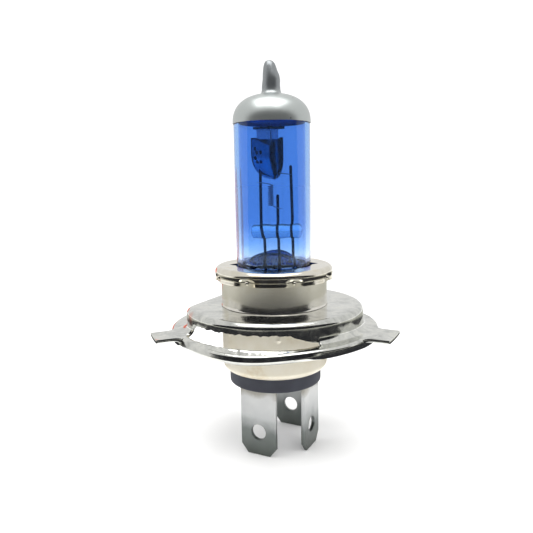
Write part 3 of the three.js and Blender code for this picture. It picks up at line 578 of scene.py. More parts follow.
def shield_wall(inset):
    """The cup's front as a (height, width) grid. Depth follows a rounded ridge in plan, 1 - sqrt(u^2 + e).
    Below the knee the width closes in by sqrt(1 - c^2.2) and the depth by 1 - b c^2 to the foot."""
    v = np.linspace(0, 1, 36)[:, None]
    u = np.linspace(-1, 1, 61)[None, :]
    z = SHIELD_LOW + inset + (SHIELD_TOP - SHIELD_LOW - inset) * v ** 1.15
    knee = np.where(u < 0, SHIELD_KNEE_LEFT, SHIELD_KNEE_RIGHT)
    close = np.clip((knee - z) / (knee - SHIELD_LOW - inset), 0, 1)
    keep = np.sqrt(np.clip(1 - close ** 2.2, 0, 1)) * 0.97 + 0.03
    shut = np.clip((SHIELD_KNEE_RIGHT - z) / (SHIELD_KNEE_RIGHT - SHIELD_LOW - inset), 0, 1)
    middle = SHIELD_RIDGE + FOOT_SHIFT * shut
    left, right = SHIELD_LEFT + inset, SHIELD_RIGHT
    x = np.where(u < 0, middle + (middle - left) * u * keep, middle + (right - middle) * u * keep)
    ridge = 1 - np.sqrt(u ** 2 + RIDGE_SOFT) + 0.11
    bowl = 1 - BOWL * close ** 2
    y = SHIELD_BACK - SHEET - (SHIELD_OUT + SHIELD_BACK - SHEET - inset) * ridge * bowl
    y = np.where(u > 0, y - SHIELD_MOUTH * u * bowl, y + 0.25 * u ** 4)
    notch = NOTCH_DEPTH * np.clip(1 - np.abs(u) * 1.3, 0, 1)
    return points_of(x, y, z - notch * np.clip((z - NOTCH_START) / (SHIELD_TOP - NOTCH_START), 0, 1))


shield_sheet, tree = material("molybdenum_sheet_stamped")
# Stamped molybdenum: light where it is lit, and taken down to blue-black by painted shade over the shaded
# right wall, along its bent edges and on the tab below the cup's top.
place = add(tree, "TexCoord").outputs["Object"]
mottle = add(tree, "TexNoise", {0: place, "Scale": 900.0, "Detail": 4.0})
blued = add(tree, "Attribute", attribute_name="blued").outputs["Fac"]
uneven = add(tree, "MapRange", {0: mottle.outputs[0], 1: 0.3, 2: 0.7, 3: -0.08, 4: 0.08}).outputs[0]
share = add(tree, "Math", {0: blued, 1: uneven}, operation="ADD", use_clamp=True).outputs[0]
colour = add(tree, "ValToRGB", {0: share}, stops=[
    (0.0, "#a9b2c2"), (0.45, "#2f7ea6"), (0.8, "#1c222e"), (1.0, "#0c0e13"),
])
rough = add(tree, "MapRange", {0: mottle.outputs[0], 3: 0.14, 4: 0.26}).outputs[0]
shader = add(tree, "BsdfPrincipled", {"Base Color": colour.outputs[0], "Metallic": 1.0, "Roughness": rough})
add(tree, "OutputMaterial", {0: shader.outputs[0]})


def heat_marked(made, blued):
    """Stores how much painted shade each point of both faces of a plate gets, from 0 to 1."""
    values = np.concatenate([blued.reshape(-1), blued.reshape(-1)])
    made.data.attributes.new("blued", "FLOAT", "POINT").data.foreach_set("value", values)


cup_points, cup_faces = plate(burner(shield_wall(0.0)), burner(shield_wall(SHEET) + [0, SHEET * 0.3, 0]))
cup = mesh_piece("shield_cup", cup_points, cup_faces, shield_sheet, 40, ["dip_shield"])
rows, columns = shield_wall(0.0).shape[:2]
v = np.linspace(0, 1, rows)[:, None]
u = np.linspace(-1, 1, columns)[None, :]
# Painted shade along the sides, the foot, the top edge and the ridge, and over the two walls: more on the
# shaded right one, but for a painted highlight streak down its middle.
sides = np.exp(-((1 - np.abs(u)) / 0.07) ** 2)
foot = np.exp(-(v / 0.06) ** 2)
top_edge = np.exp(-((1 - v) / 0.04) ** 2)
ridge = 0.8 * np.exp(-((u - 0.02) / 0.05) ** 2)
walls = np.where(u < 0, 0.5, 0.86 - 0.25 * np.exp(-((u - 0.5) / 0.1) ** 2))
heat_marked(cup, np.maximum.reduce(np.broadcast_arrays(sides, foot, top_edge, ridge, walls)))

TAB_LOW, TAB_HIGH = 33.6, 40.3
TAB_NECK, TAB_HEAD = 0.64, 0.92        # shares of the tab's height where it narrows, and widens to its head
width = np.linspace(-1, 1, 41)[None, :]
rise = np.linspace(0, 1, 60)[:, None]
stretches = [rise < TAB_NECK, rise < TAB_HEAD]
centre, half = np.select(stretches, [-1.0, -0.9], -0.6), np.select(stretches, [2.9, 2.2], 3.2)
tab_front = points_of(centre + half * width, SHIELD_BACK - SHEET, TAB_LOW + (TAB_HIGH - TAB_LOW) * rise)
tab_points, tab_faces = plate(burner(tab_front), burner(tab_front + [0, SHEET, 0]))
tab = mesh_piece("shield_tab", tab_points, tab_faces, shield_sheet, 40)
# Painted shade on the tab below the cup's top, where it stands inside the cup, and at its head; its neck is
# left light.
bare = np.broadcast_to((rise > TAB_NECK) & (rise < TAB_HEAD), tab_front.shape[:2])
heat_marked(tab, np.where(bare, 0.05, 0.75))

weld_mark, tree = material("spot_weld_burnt")
# Burnt weld marks: blue-black, dull and uneven. Two by three of them stand on the cup's left wall.
place = add(tree, "TexCoord").outputs["Object"]
burn = add(tree, "TexNoise", {0: place, "Scale": 3000.0, "Detail": 3.0})
colour = add(tree, "ValToRGB", {0: burn.outputs[0]}, stops=[(0.35, "#0c0f18"), (0.7, "#2a2f3c")])
shader = add(tree, "BsdfPrincipled", {"Base Color": colour.outputs[0], "Metallic": 0.6, "Roughness": 0.6})
add(tree, "OutputMaterial", {0: shader.outputs[0]})


def dimple(centre, radius, height, normal, sides=20):
    """A low round nugget, closed underneath: its height falls as h sqrt(1 - s^2) from the centre out."""
    s = np.concatenate([np.linspace(0, 1, 8), [0.5, 0.0]])
    lift = np.concatenate([height * np.sqrt(1 - np.linspace(0, 1, 8) ** 2), [-height / 2, -height / 2]])
    normal = np.asarray(normal, float) / np.linalg.norm(normal)
    first = np.cross(normal, [0.0, 0.0, 1.0])
    first /= np.linalg.norm(first)
    second = np.cross(normal, first)
    return rings(centre + normal * lift[::-1, None], first[None], second[None], radius * s[::-1], sides)


MARK_RADIUS, MARK_HEIGHT = 0.4, 0.06
WALL_FACES = [-0.62, -0.78, 0.0]       # the way that the left wall faces, in the burner's own frame
MARKS = [                              # (distance along the pinch, height) of each mark
    (-3.35, 36.05), (-3.0, 35.15), (-2.25, 35.2), (-3.4, 34.2), (-3.0, 33.4), (-2.2, 33.5),
]
grid = shield_wall(0.0).reshape(-1, 3)
for k, (x, z) in enumerate(MARKS):
    near = grid[np.argmin((grid[:, 0] - x) ** 2 + (grid[:, 2] - z) ** 2)]
    mark_points, mark_faces = dimple(burner(near), MARK_RADIUS, MARK_HEIGHT, burner(WALL_FACES))
    mesh_piece(f"shield_weld_{k}", mark_points, mark_faces, weld_mark, 60)

# ---- Collar cap -----------------------------------------------------------------------------------
# A bright nickelled steel cap drawn over the top of the sleeve. Its skirt is set in at eight places
# round the edge and spot-welded there; its opening clears the bulb with two pointed ears.

CAP_RADIUS = 12.2
CAP_TOP = 12.45
CAP_FOOT = 9.65
CAP_EDGE = 1.1
CAP_SHEET = 0.4
CAP_BORE = 7.96
CAP_EAR = 1.25
SKIRT_WELDS = 8
SKIRT_DIP = 0.09                       # how far the skirt draws in half-way down
SET_IN = 0.4                           # how far it is set in at a weld
SET_IN_HALF = 0.075                    # half of that place's width at the top, in radians
SET_IN_SPREAD = 0.06                   # what it gains down the skirt
SET_IN_EDGE = 0.014                    # radians over which its sides step in
EAR_HALF = 0.16                        # sine of the angle from an ear's point to its root
NUGGET_RADIUS, NUGGET_HEIGHT = 0.42, 0.38
NUGGET_RISE = 0.75                     # above the skirt's foot
NUGGET_IN = 0.45                       # inside the skirt's outer radius


def ease(x):
    """Smooth step: 3x^2 - 2x^3 between 0 and 1."""
    x = np.clip(x, 0, 1)
    return x * x * (3 - 2 * x)


def cap_surface(inset, sides=512):
    """The cap as a profile turned about the axis. The skirt is pushed in at each weld by d w(t) s(z), where
    w is a flat-topped hump of angle and s grows down the skirt; the opening's edge steps out at two ears."""
    edge = CAP_EDGE - inset
    corner = np.array([CAP_RADIUS - CAP_EDGE, CAP_TOP - CAP_EDGE])
    profile = np.concatenate([
        points_of(CAP_RADIUS - inset, np.linspace(CAP_FOOT, corner[1], 26))[:-1],
        arc(*corner, edge, 0, 90, 12),
        points_of(np.linspace(corner[0], CAP_BORE, 12), CAP_TOP - inset)[1:],
    ])
    t = np.arange(sides) * FULL_TURN / sides
    r, z = profile[:, :1], profile[:, 1:]
    share = np.clip((corner[0] - r) / (corner[0] - CAP_BORE), 0, 1) * (z > CAP_TOP - inset - 0.001)
    ear = np.clip(1 - np.abs(np.sin(t - BURNER_TURN)) / EAR_HALF, 0, 1)
    step = FULL_TURN / SKIRT_WELDS
    off = (t + step / 2) % step - step / 2
    depth = np.clip(corner[1] + 0.15 - z, 0, 1)
    hump = 1 / (1 + np.exp((np.abs(off) - SET_IN_HALF - SET_IN_SPREAD * depth) / SET_IN_EDGE))
    dip = np.sin(np.pi * np.clip((corner[1] - z) / (corner[1] - CAP_FOOT), 0, 1)) ** 2
    r = r - SKIRT_DIP * dip * (1 - hump) - SET_IN * hump * ease(depth) + CAP_EAR * ear * share
    return points_of(r * np.cos(t), r * np.sin(t), z)


def shell(outside, inside):
    """A closed turned sheet from its outer and inner grids, joined round both edges."""
    rows, sides = outside.shape[:2]
    points = np.concatenate([outside, inside[::-1]])
    return points.reshape(-1, 3), grid_faces(2 * rows, sides, wrap_rows=True)


bright_nickel, tree = material("nickel_plated_bright")
# Bright nickel on steel: a near mirror, warm, with fine polishing haze and faint gold stains.
place = add(tree, "TexCoord").outputs["Object"]
haze = add(tree, "TexNoise", {0: place, "Scale": 260.0, "Detail": 5.0})
colour = add(tree, "ValToRGB", {0: haze.outputs[0]}, stops=[
    (0.35, "#d9d3c2"), (0.55, "#e6e2d6"), (0.75, "#ded0ae"),
])
rough = add(tree, "MapRange", {0: haze.outputs[0], 3: 0.1, 4: 0.19}).outputs[0]
bump = add(tree, "Bump", {"Height": haze.outputs[0], "Strength": 0.1, "Distance": 0.0001})
shader = add(tree, "BsdfPrincipled", {
    "Base Color": colour.outputs[0], "Metallic": 1.0, "Roughness": rough, "Normal": bump.outputs[0],
})
add(tree, "OutputMaterial", {0: shader.outputs[0]})
cap_points, cap_faces = shell(cap_surface(0.0), cap_surface(CAP_SHEET))
mesh_piece("collar", cap_points, cap_faces, bright_nickel, 50, ["collar_cap"])
for k in range(SKIRT_WELDS):
    t = k * FULL_TURN / SKIRT_WELDS
    out = np.array([np.cos(t), np.sin(t), 0.0])
    centre = out * (CAP_RADIUS - NUGGET_IN) + [0, 0, CAP_FOOT + NUGGET_RISE]
    nugget_points, nugget_faces = dimple(centre, NUGGET_RADIUS, NUGGET_HEIGHT, out)
    mesh_piece(f"collar_weld_{k}", nugget_points, nugget_faces, bright_nickel, 60)

# ---- Upper sleeve ---------------------------------------------------------------------------------
# A drawn steel sleeve, satin nickel, that stands on the flange with a small flared foot and carries
# the collar. It slides and turns on the neck of the shell while the filament is set in focus.

SLEEVE_RADIUS = 10.95
SLEEVE_BORE = 10.45
SLEEVE_FOOT = 4.35
SLEEVE_TOP = 11.75
SLEEVE_ROUND = 0.15
FLARE = 0.14                           # how far the foot flares out, and the height where that starts
FLARE_START = 4.85
rise = np.linspace(SLEEVE_FOOT, SLEEVE_TOP - SLEEVE_ROUND, 40)
girth = SLEEVE_RADIUS + FLARE * np.clip((FLARE_START - rise) / (FLARE_START - SLEEVE_FOOT), 0, 1) ** 2
rim = arc(SLEEVE_RADIUS - SLEEVE_ROUND, SLEEVE_TOP - SLEEVE_ROUND, SLEEVE_ROUND, 0, 90, 4)[1:]
sleeve_outside = np.concatenate([np.stack([girth, rise], -1), rim])
bore = np.append(girth - (SLEEVE_RADIUS - SLEEVE_BORE), np.full(len(rim), SLEEVE_BORE))
sleeve_inside = np.stack([bore, sleeve_outside[:, 1]], -1)

satin_nickel, tree = material("nickel_plated_drawn")
# Satin nickel on drawn steel: fine draw lines round the sleeve blur the gloss, with a grey-gold tone.
place = add(tree, "TexCoord").outputs["Object"]
squash = add(tree, "Mapping", {0: place, "Scale": (0.05, 0.05, 1.0)}).outputs[0]
lines = add(tree, "TexNoise", {0: squash, "Scale": 6000.0, "Detail": 3.0})
stain = add(tree, "TexNoise", {0: place, "Scale": 180.0, "Detail": 4.0})
colour = add(tree, "ValToRGB", {0: stain.outputs[0]}, stops=[
    (0.35, "#dedad0"), (0.6, "#e8e5dd"), (0.8, "#d9d1be"),
])
rough = add(tree, "MapRange", {0: lines.outputs[0], 3: 0.14, 4: 0.21}).outputs[0]
bump = add(tree, "Bump", {"Height": lines.outputs[0], "Strength": 0.02, "Distance": 0.00002})
shader = add(tree, "BsdfPrincipled", {
    "Base Color": colour.outputs[0], "Metallic": 1.0, "Roughness": rough, "Normal": bump.outputs[0],
})
add(tree, "OutputMaterial", {0: shader.outputs[0]})
sleeve_points, sleeve_faces = shell(turned(sleeve_outside, 192), turned(sleeve_inside, 192))
mesh_piece("sleeve", sleeve_points, sleeve_faces, satin_nickel, 40, ["upper_sleeve"])

# ---- Focusing flange ------------------------------------------------------------------------------
# One pressing in 0.8 mm zinc-plated steel: a raised plate with one flat side, a wall, and a rim with a
# turned-down lip. Two long windows pierce the wall and the rim, and their torn edges are left as cut.

WALL_RADIUS = 18.4
FLAT_SIDE = 15.2                       # the flat side's distance from the axis
CORNER_POWER = 40.0                    # of the soft minimum: more is a sharper corner beside the flat side
PLATE_HEIGHT = 4.3
FLANGE_SHEET = 0.8
FLANGE_EDGE = 0.1                      # rounding of its cut edges
PLATE_BEND = 1.1
RIM_RADIUS = 21.5
RIM_EDGE = 0.6
RIM_LEAN = 0.28                        # beside a window the lip leans out this far, and curls back this far
RIM_CURL = 0.45
RIM_LIP = 1.7
RIM_SAG = 0.75                         # how far the rim hangs down half-way along a window
RING_INNER = 19.9
RING_START = 18.9                      # the ring's inner radius at a window's ends
WALL_FOOT = 1.4                        # where the wall turns out into the rim, away from the windows
WINDOW_START = 38.5                    # degrees from the reference lug, both ways
WINDOW_FULL = 60.0
WINDOW_END = 127.0
WINDOW_CLOSE = 5.0                     # degrees over which a window ends
WINDOW_SILL = 2.2                      # height of the wall's edge over a window
SILL_LOW = 0.45                        # the same at a window's narrow end
FLANGE_BORE = 10.45
COLUMNS = 720
PLATE_ROWS, BEND_ROWS, WALL_ROWS, WINDOW_ROWS = 6, 8, 5, 7


def ripple(t, seed, waves, size):
    """A wavy line round the axis: a sum of sines sin(k t + p) / k with fixed random phases."""
    rng = np.random.default_rng(seed)
    k = np.array(waves)[:, None]
    phase = rng.uniform(0, FULL_TURN, len(waves))[:, None]
    return size * (np.sin(k * t + phase) * waves[0] / k).sum(0)


def pressing():
    """Top face of the flange as (rows, columns): bore, plate, bend, wall to the window's edge, a quadratic
    curve over the window to the ring, and the ring with its lip. The wall's radius is the soft minimum of
    the round and the flat side; the window's edges follow the angle from the reference lug."""
    t = np.arange(COLUMNS) * FULL_TURN / COLUMNS
    degrees = np.abs((np.degrees(t) + 180) % 360 - 180)
    flat = FLAT_SIDE / np.clip(-np.cos(t), 1e-3, None)
    wall = (WALL_RADIUS ** -CORNER_POWER + flat ** -CORNER_POWER) ** (-1 / CORNER_POWER)
    opening = ease((degrees - WINDOW_START) / (WINDOW_FULL - WINDOW_START))
    ending = ease((WINDOW_END - degrees) / WINDOW_CLOSE)
    inside = (degrees >= WINDOW_START) & (degrees <= WINDOW_END)
    torn = ripple(t, 4, [37, 53, 71, 97, 139], 0.075) * opening * ending
    tall = np.minimum(opening, 0.35 + 0.65 * ending)
    sill = np.where(inside, SILL_LOW + (WINDOW_SILL - SILL_LOW) * tall + torn, WALL_FOOT)
    wide = np.minimum(opening, ending) ** 0.6
    ragged = ripple(t, 9, [43, 67, 103], 0.05)
    ring_in = np.where(inside, RING_START + (RING_INNER - RING_START) * wide + ragged, RING_INNER)
    sag = RIM_SAG * np.sin(np.pi * np.clip((degrees - WINDOW_START) / (WINDOW_END - WINDOW_START), 0, 1)) ** 2
    wavy = ripple(t, 2, [5, 9, 16, 29], 0.07)
    high = PLATE_HEIGHT - PLATE_BEND
    beside = np.where(inside, np.minimum(opening, ending), 0)
    start = RIM_RADIUS - RIM_EDGE - RIM_LEAN * beside
    plate_edge = wall - PLATE_BEND
    rows = [(FLANGE_BORE + (plate_edge - FLANGE_BORE) * u, PLATE_HEIGHT + 0.6 * wavy * np.sin(np.pi * u))
            for u in np.linspace(0, 1, PLATE_ROWS)]
    rows += [(plate_edge + PLATE_BEND * np.sin(a), high + PLATE_BEND * np.cos(a))
             for a in np.radians(np.linspace(0, 90, BEND_ROWS + 1))[1:]]
    rows += [(wall + 0.1 * wavy, high + (sill - high) * u) for u in np.linspace(0, 1, WALL_ROWS + 1)[1:]]
    rows += [((1 - u ** 2) * wall + u ** 2 * ring_in, (1 - u) ** 2 * sill)
             for u in np.linspace(0, 1, WINDOW_ROWS + 1)[1:]]
    rows += [(ring_in + (start - ring_in) * u, -sag * u ** 2) for u in np.linspace(0, 1, 4)[1:]]
    rows += [(start + RIM_EDGE * np.sin(a), -RIM_EDGE * (1 - np.cos(a)) - sag)
             for a in np.radians(np.linspace(0, 72, 7))[1:]]
    bend_r, bend_z = rows[-1]
    rows += [(bend_r + (RIM_RADIUS - bend_r) * min(2 * u, 1) - RIM_CURL * beside * max(2 * u - 1, 0) ** 1.5,
              bend_z - (RIM_LIP + bend_z + sag + 0.6 * wavy) * u) for u in np.linspace(0, 1, 9)[1:]]
    lines = np.stack([points_of(r, z, t) for r, z in rows])
    r = np.minimum(lines[..., 0], RIM_RADIUS)
    return points_of(r * np.cos(t), r * np.sin(t), lines[..., 1]), inside


def finished(made, thickness=0.0, round_edge=0.0, crease=40):
    """Gives a surface its sheet thickness and rounded cut edges by modifiers, and keeps the result as mesh."""
    if thickness:
        wall = made.modifiers.new("sheet", "SOLIDIFY")
        wall.thickness, wall.offset, wall.use_even_offset = thickness * MM, -1.0, True
    if round_edge:
        edge = made.modifiers.new("edge", "BEVEL")
        edge.width, edge.segments, edge.limit_method = round_edge * MM, 2, "ANGLE"
        edge.angle_limit = np.radians(50)
        edge.use_clamp_overlap = True
    bpy.context.view_layer.update()
    kept = bpy.data.meshes.new_from_object(made.evaluated_get(bpy.context.evaluated_depsgraph_get()))
    made.modifiers.clear()
    made.data = kept
    kept.name = made.name
    kept.shade_smooth()
    kept.set_sharp_from_angle(angle=np.radians(crease))
    return made


RUST_PLACE = (-0.0116, -0.0143, 0.0029)    # metres, at the torn end of the left window

zinc, tree = material("zinc_plated_pressed")
# Bright zinc plate on pressed steel: a grey gloss, faintly warm, mottled by the pickled sheet under it, with
# scuffs that catch the light, and a painted orange reflection at one torn edge.
place = add(tree, "TexCoord").outputs["Object"]
mottle = add(tree, "TexNoise", {0: place, "Scale": 330.0, "Detail": 8.0, "Roughness": 0.7, "Distortion": 0.6})
scuff = add(tree, "TexNoise", {0: add(tree, "Mapping", {0: place, "Scale": (1.0, 0.12, 1.0)}).outputs[0],
                               "Scale": 1500.0, "Detail": 4.0})
colour = add(tree, "ValToRGB", {0: mottle.outputs[0]}, stops=[
    (0.3, "#aeafaa"), (0.46, "#cdcec9"), (0.62, "#e1e1da"), (0.78, "#b6b09a"),
])
# Painted reflection: an orange patch at the left window's torn end, broken up by the scuffs, for the orange
# card's glint.
tinge = add(tree, "VectorMath", {0: place, 1: RUST_PLACE}, operation="DISTANCE").outputs["Value"]
tinge = add(tree, "MapRange", {0: tinge, 1: 0.0004, 2: 0.0017, 3: 1.3, 4: 0.0}).outputs[0]
tinge = add(tree, "Math", {0: tinge, 1: scuff.outputs[0]}, operation="MULTIPLY").outputs[0]
colour = add(tree, "Mix", {0: tinge, 6: colour.outputs[0], 7: linear("#c2532c")}, data_type="RGBA")
both = add(tree, "Math", {0: mottle.outputs[0], 1: scuff.outputs[0]}, operation="MULTIPLY")
rough = add(tree, "MapRange", {0: both.outputs[0], 1: 0.1, 2: 0.42, 3: 0.06, 4: 0.2}).outputs[0]
bump = add(tree, "Bump", {"Height": mottle.outputs[0], "Strength": 0.035, "Distance": 0.00018})
fine = add(tree, "Bump", {"Height": scuff.outputs[0], "Strength": 0.04, "Distance": 0.00005,
                          "Normal": bump.outputs[0]})
shader = add(tree, "BsdfPrincipled", {
    "Base Color": colour.outputs[2], "Metallic": 1.0, "Roughness": rough, "Normal": fine.outputs[0],
})
add(tree, "OutputMaterial", {0: shader.outputs[0]})

pressed, inside = pressing()
rows, columns = pressed.shape[:2]
faces = grid_faces(rows, columns)[:, ::-1]
row = faces[:, 3] // columns
column = faces[:, 3] % columns
sill_row = PLATE_ROWS + BEND_ROWS + WALL_ROWS - 1
open_row = (row >= sill_row) & (row < sill_row + WINDOW_ROWS)
open_column = inside[column] & inside[(column + 1) % columns]
flange = mesh_piece("flange", pressed.reshape(-1, 3), faces[~(open_row & open_column)], zinc, 40,
                    ["focusing_flange"])
finished(flange, FLANGE_SHEET, FLANGE_EDGE)

LUG_END = 25.6
LUG_ROOT = 19.6
LUG_FILLET = 1.0                       # how much wider a lug is where it meets the rim
FILLET_START, FILLET_REACH = 20.9, 0.5
LUG_BOW = 0.18                         # how far a lug's middle droops at its end
BOW_START = 22.2
LUG_LIFT = 0.012                       # above the rim's top face
LUG_EDGE = 0.24                        # rounding of its cut edges
for key, half, angle in (("reference", 4.0, 0), ("left", 3.0, 132), ("right", 3.0, -132)):
    u = np.linspace(0, 1, 25)[:, None]
    v = np.linspace(-1, 1, 25)[None, :]
    out = LUG_ROOT + (LUG_END - LUG_ROOT) * u
    reach = half + LUG_FILLET * np.exp(-np.clip(out - FILLET_START, 0, None) / FILLET_REACH)
    bow = LUG_BOW * ease((out - BOW_START) / (LUG_END - BOW_START)) * (1 - v ** 2)
    face = about_axis(points_of(out, reach * v, LUG_LIFT - bow), np.radians(angle))
    lug_points, lug_faces = plate(face, face - [0, 0, FLANGE_SHEET])
    lug = mesh_piece(f"lug_{key}", lug_points, lug_faces, zinc)
    finished(lug, 0.0, LUG_EDGE)

# ---- Base shell -----------------------------------------------------------------------------------
# A drawn steel shell with a warm matt nickel plate. Its foot is rolled in over the insulator and its neck
# passes up through the flange; six spot welds show round its wall.

SHELL_RADIUS = 11.0
SHELL_SHEET = 0.5
SHELL_FOOT = -9.2
SHELL_TOP = 3.2
NECK_RADIUS = 10.15
NECK_TOP = 8.8
CRIMP = 1.3
SHELL_WELDS = 6
WELD_HEIGHT = -0.8
WELD_DENT, DENT_REACH = 0.16, 0.85
WELD_RISE, RISE_REACH = 0.3, 0.42


def shell_profile(inset):
    """Outer line of the shell from the rolled-in foot to the top of the neck, moved in by the sheet."""
    low = arc(SHELL_RADIUS - CRIMP, SHELL_FOOT + CRIMP, CRIMP - inset, -80, 0, 12)
    wall = points_of(SHELL_RADIUS - inset, np.linspace(SHELL_FOOT + CRIMP, SHELL_TOP - 0.5, 60))
    step = np.array([[SHELL_RADIUS - inset, SHELL_TOP - inset], [NECK_RADIUS - inset, SHELL_TOP - inset]])
    neck = points_of(NECK_RADIUS - inset, np.linspace(SHELL_TOP + 0.2, NECK_TOP, 10))
    return np.concatenate([low[:-1], wall, step, neck])


def welded(points):
    """The shell with a ring-shaped dent at each weld: at distance s, r falls by d exp(-(s/w)^2) and rises by
    e exp(-(s/v)^2)."""
    t = np.arctan2(points[..., 1], points[..., 0])
    step = FULL_TURN / SHELL_WELDS
    off = ((t + step / 2) % step - step / 2) * SHELL_RADIUS
    far = np.hypot(off, points[..., 2] - WELD_HEIGHT)
    dent = WELD_RISE * np.exp(-(far / RISE_REACH) ** 2) - WELD_DENT * np.exp(-(far / DENT_REACH) ** 2)
    r = np.hypot(points[..., 0], points[..., 1])
    grown = (r + dent * (points[..., 2] < SHELL_TOP - 1)) / r
    return points_of(points[..., 0] * grown, points[..., 1] * grown, points[..., 2])


warm_nickel, tree = material("nickel_plated_matt")
# Matt nickel, a little yellowed: a soft creamy sheen with faint tan stains and handling marks.
place = add(tree, "TexCoord").outputs["Object"]
stain = add(tree, "TexNoise", {0: place, "Scale": 150.0, "Detail": 6.0, "Roughness": 0.65})
spots = add(tree, "TexNoise", {0: place, "Scale": 420.0, "Detail": 3.0})
colour = add(tree, "ValToRGB", {0: stain.outputs[0]}, stops=[
    (0.3, "#e9e4d6"), (0.55, "#e2dbc8"), (0.72, "#cdbb98"),
])
rough = add(tree, "MapRange", {0: spots.outputs[0], 3: 0.38, 4: 0.56}).outputs[0]
bump = add(tree, "Bump", {"Height": spots.outputs[0], "Strength": 0.1, "Distance": 0.0001})
shader = add(tree, "BsdfPrincipled", {
    "Base Color": colour.outputs[0], "Metallic": 0.45, "Roughness": rough, "Normal": bump.outputs[0],
})
add(tree, "OutputMaterial", {0: shader.outputs[0]})
outside = welded(turned(shell_profile(0.0), 384))
shell_points, shell_faces = shell(outside, turned(shell_profile(SHELL_SHEET), 384))
mesh_piece("shell", shell_points, shell_faces, warm_nickel, 40, ["base_shell"])

# ---- Insulator ------------------------------------------------------------------------------------
# A dark phenolic moulding that closes the foot of the shell, which is rolled into its waist. The three
# blades stand in it.

INSULATOR_RADIUS = 9.65
INSULATOR_FOOT = -12.1
INSULATOR_TOP = -5.2
INSULATOR_ROUND = 0.3
CRIMPED_IN = [[8.85, -8.4], [9.9, -7.1]]    # (radius, height) of the waist that the shell is rolled into
moulded = np.concatenate([
    [[0.0, INSULATOR_FOOT], [6.0, INSULATOR_FOOT]],
    arc(INSULATOR_RADIUS - INSULATOR_ROUND, INSULATOR_FOOT + INSULATOR_ROUND, INSULATOR_ROUND, -90, 0, 5),
    points_of(INSULATOR_RADIUS, np.linspace(INSULATOR_FOOT + 0.6, -8.5, 8)),
    CRIMPED_IN, [[10.2, INSULATOR_TOP], [0.0, INSULATOR_TOP]],
])
moulding, tree = material("phenolic_moulded")
# Moulded phenolic: near-black with a blue cast, a dull even skin and a fine grain.
place = add(tree, "TexCoord").outputs["Object"]
grain = add(tree, "TexNoise", {0: place, "Scale": 2600.0, "Detail": 3.0})
cloud = add(tree, "TexNoise", {0: place, "Scale": 200.0, "Detail": 3.0})
colour = add(tree, "ValToRGB", {0: cloud.outputs[0]}, stops=[(0.3, "#282a35"), (0.7, "#353843")])
bump = add(tree, "Bump", {"Height": grain.outputs[0], "Strength": 0.15, "Distance": 0.00006})
shader = add(tree, "BsdfPrincipled", {
    "Base Color": colour.outputs[0], "Roughness": 0.55, "Normal": bump.outputs[0],
})
add(tree, "OutputMaterial", {0: shader.outputs[0]})
body_points, body_faces = capped(turned(moulded, 160))
mesh_piece("insulator_body", body_points, body_faces, moulding, 30, ["insulator"])

# ---- Terminal blades ------------------------------------------------------------------------------
# Three blades stamped from 0.8 mm tinned steel, with a latch hole, chamfered corners and a line coined
# in from each edge. They are pressed into the insulator.

BLADE_HALF = 4.0
BLADE_FACE = 8.34
BLADE_THICK = 0.8
BLADE_END = -26.1
BLADE_TOP = -10.5
HOLE_RADIUS = 1.6
HOLE_HEIGHT = BLADE_END + 4.95
COIN = 0.5                             # width of the border outside the coined line
CHAMFER_ACROSS, CHAMFER_UP = 1.5, 1.9
CHAMFER_SHRINK = 0.42                  # what a chamfer loses for each millimetre that the outline moves in


def blade_loop(inset, count=40):
    """The blade's outline moved in by an inset, as points evenly run along each side between its corners."""
    u, low, top = BLADE_HALF - inset, BLADE_END + inset, BLADE_TOP - inset
    across, up = CHAMFER_ACROSS - CHAMFER_SHRINK * inset, CHAMFER_UP - CHAMFER_SHRINK * inset
    corners = np.array([[u, top], [-u, top], [-u, low + up],
                        [across - u, low], [u - across, low], [u, low + up]])
    after = np.roll(corners, -1, axis=0)
    s = np.linspace(0, 1, count, endpoint=False)[None, :, None]
    return (corners[:, None] + (after - corners)[:, None] * s).reshape(-1, 2)


def blade_points():
    """Loops from the middle of the hole's wall out across one face, round the edge and back over the other."""
    outline = blade_loop(0.0)
    t = np.arctan2(outline[:, 1] - HOLE_HEIGHT, outline[:, 0])
    hole = np.stack([np.cos(t), np.sin(t)], -1)
    centre = np.array([0.0, HOLE_HEIGHT])
    half = BLADE_THICK / 2
    loops = [(centre + hole * HOLE_RADIUS, 0.0), (centre + hole * HOLE_RADIUS, half - 0.12),
             (centre + hole * (HOLE_RADIUS + 0.05), half - 0.03), (centre + hole * (HOLE_RADIUS + 0.13), half)]
    inner = centre + hole * (HOLE_RADIUS + 0.13)
    field = blade_loop(COIN)
    for share in (0.35, 0.7, 1.0):
        loops.append((inner + (field - inner) * share, half))
    loops += [(blade_loop(COIN - 0.07), half - 0.05), (blade_loop(0.1), half - 0.05),
              (blade_loop(0.03), half - 0.1), (outline, half - 0.2), (outline, 0.0)]
    front = np.stack([np.concatenate([uv, np.full((len(uv), 1), y)], -1) for uv, y in loops])
    back = front[-2:0:-1] * [1, 1, -1]
    return np.concatenate([front, back])


tinned, tree = material("tinned_steel_stamped")
# Tinned steel: a soft grey gleam with fine lengthwise scratches, and painted shade that darkens it towards the
# blades' ends.
place = add(tree, "TexCoord").outputs["Object"]
height = add(tree, "SeparateXYZ", {0: place}).outputs["Z"]
stretch = add(tree, "Mapping", {0: place, "Scale": (1.0, 1.0, 0.06)}).outputs[0]
scratch = add(tree, "TexNoise", {0: stretch, "Scale": 3500.0, "Detail": 3.0})
cloud = add(tree, "TexNoise", {0: place, "Scale": 300.0, "Detail": 4.0})
wobble = add(tree, "Math", {0: cloud.outputs[0], 1: 0.004, 2: -0.002}, operation="MULTIPLY_ADD")
level = add(tree, "Math", {0: height, 1: wobble.outputs[0]}, operation="ADD")
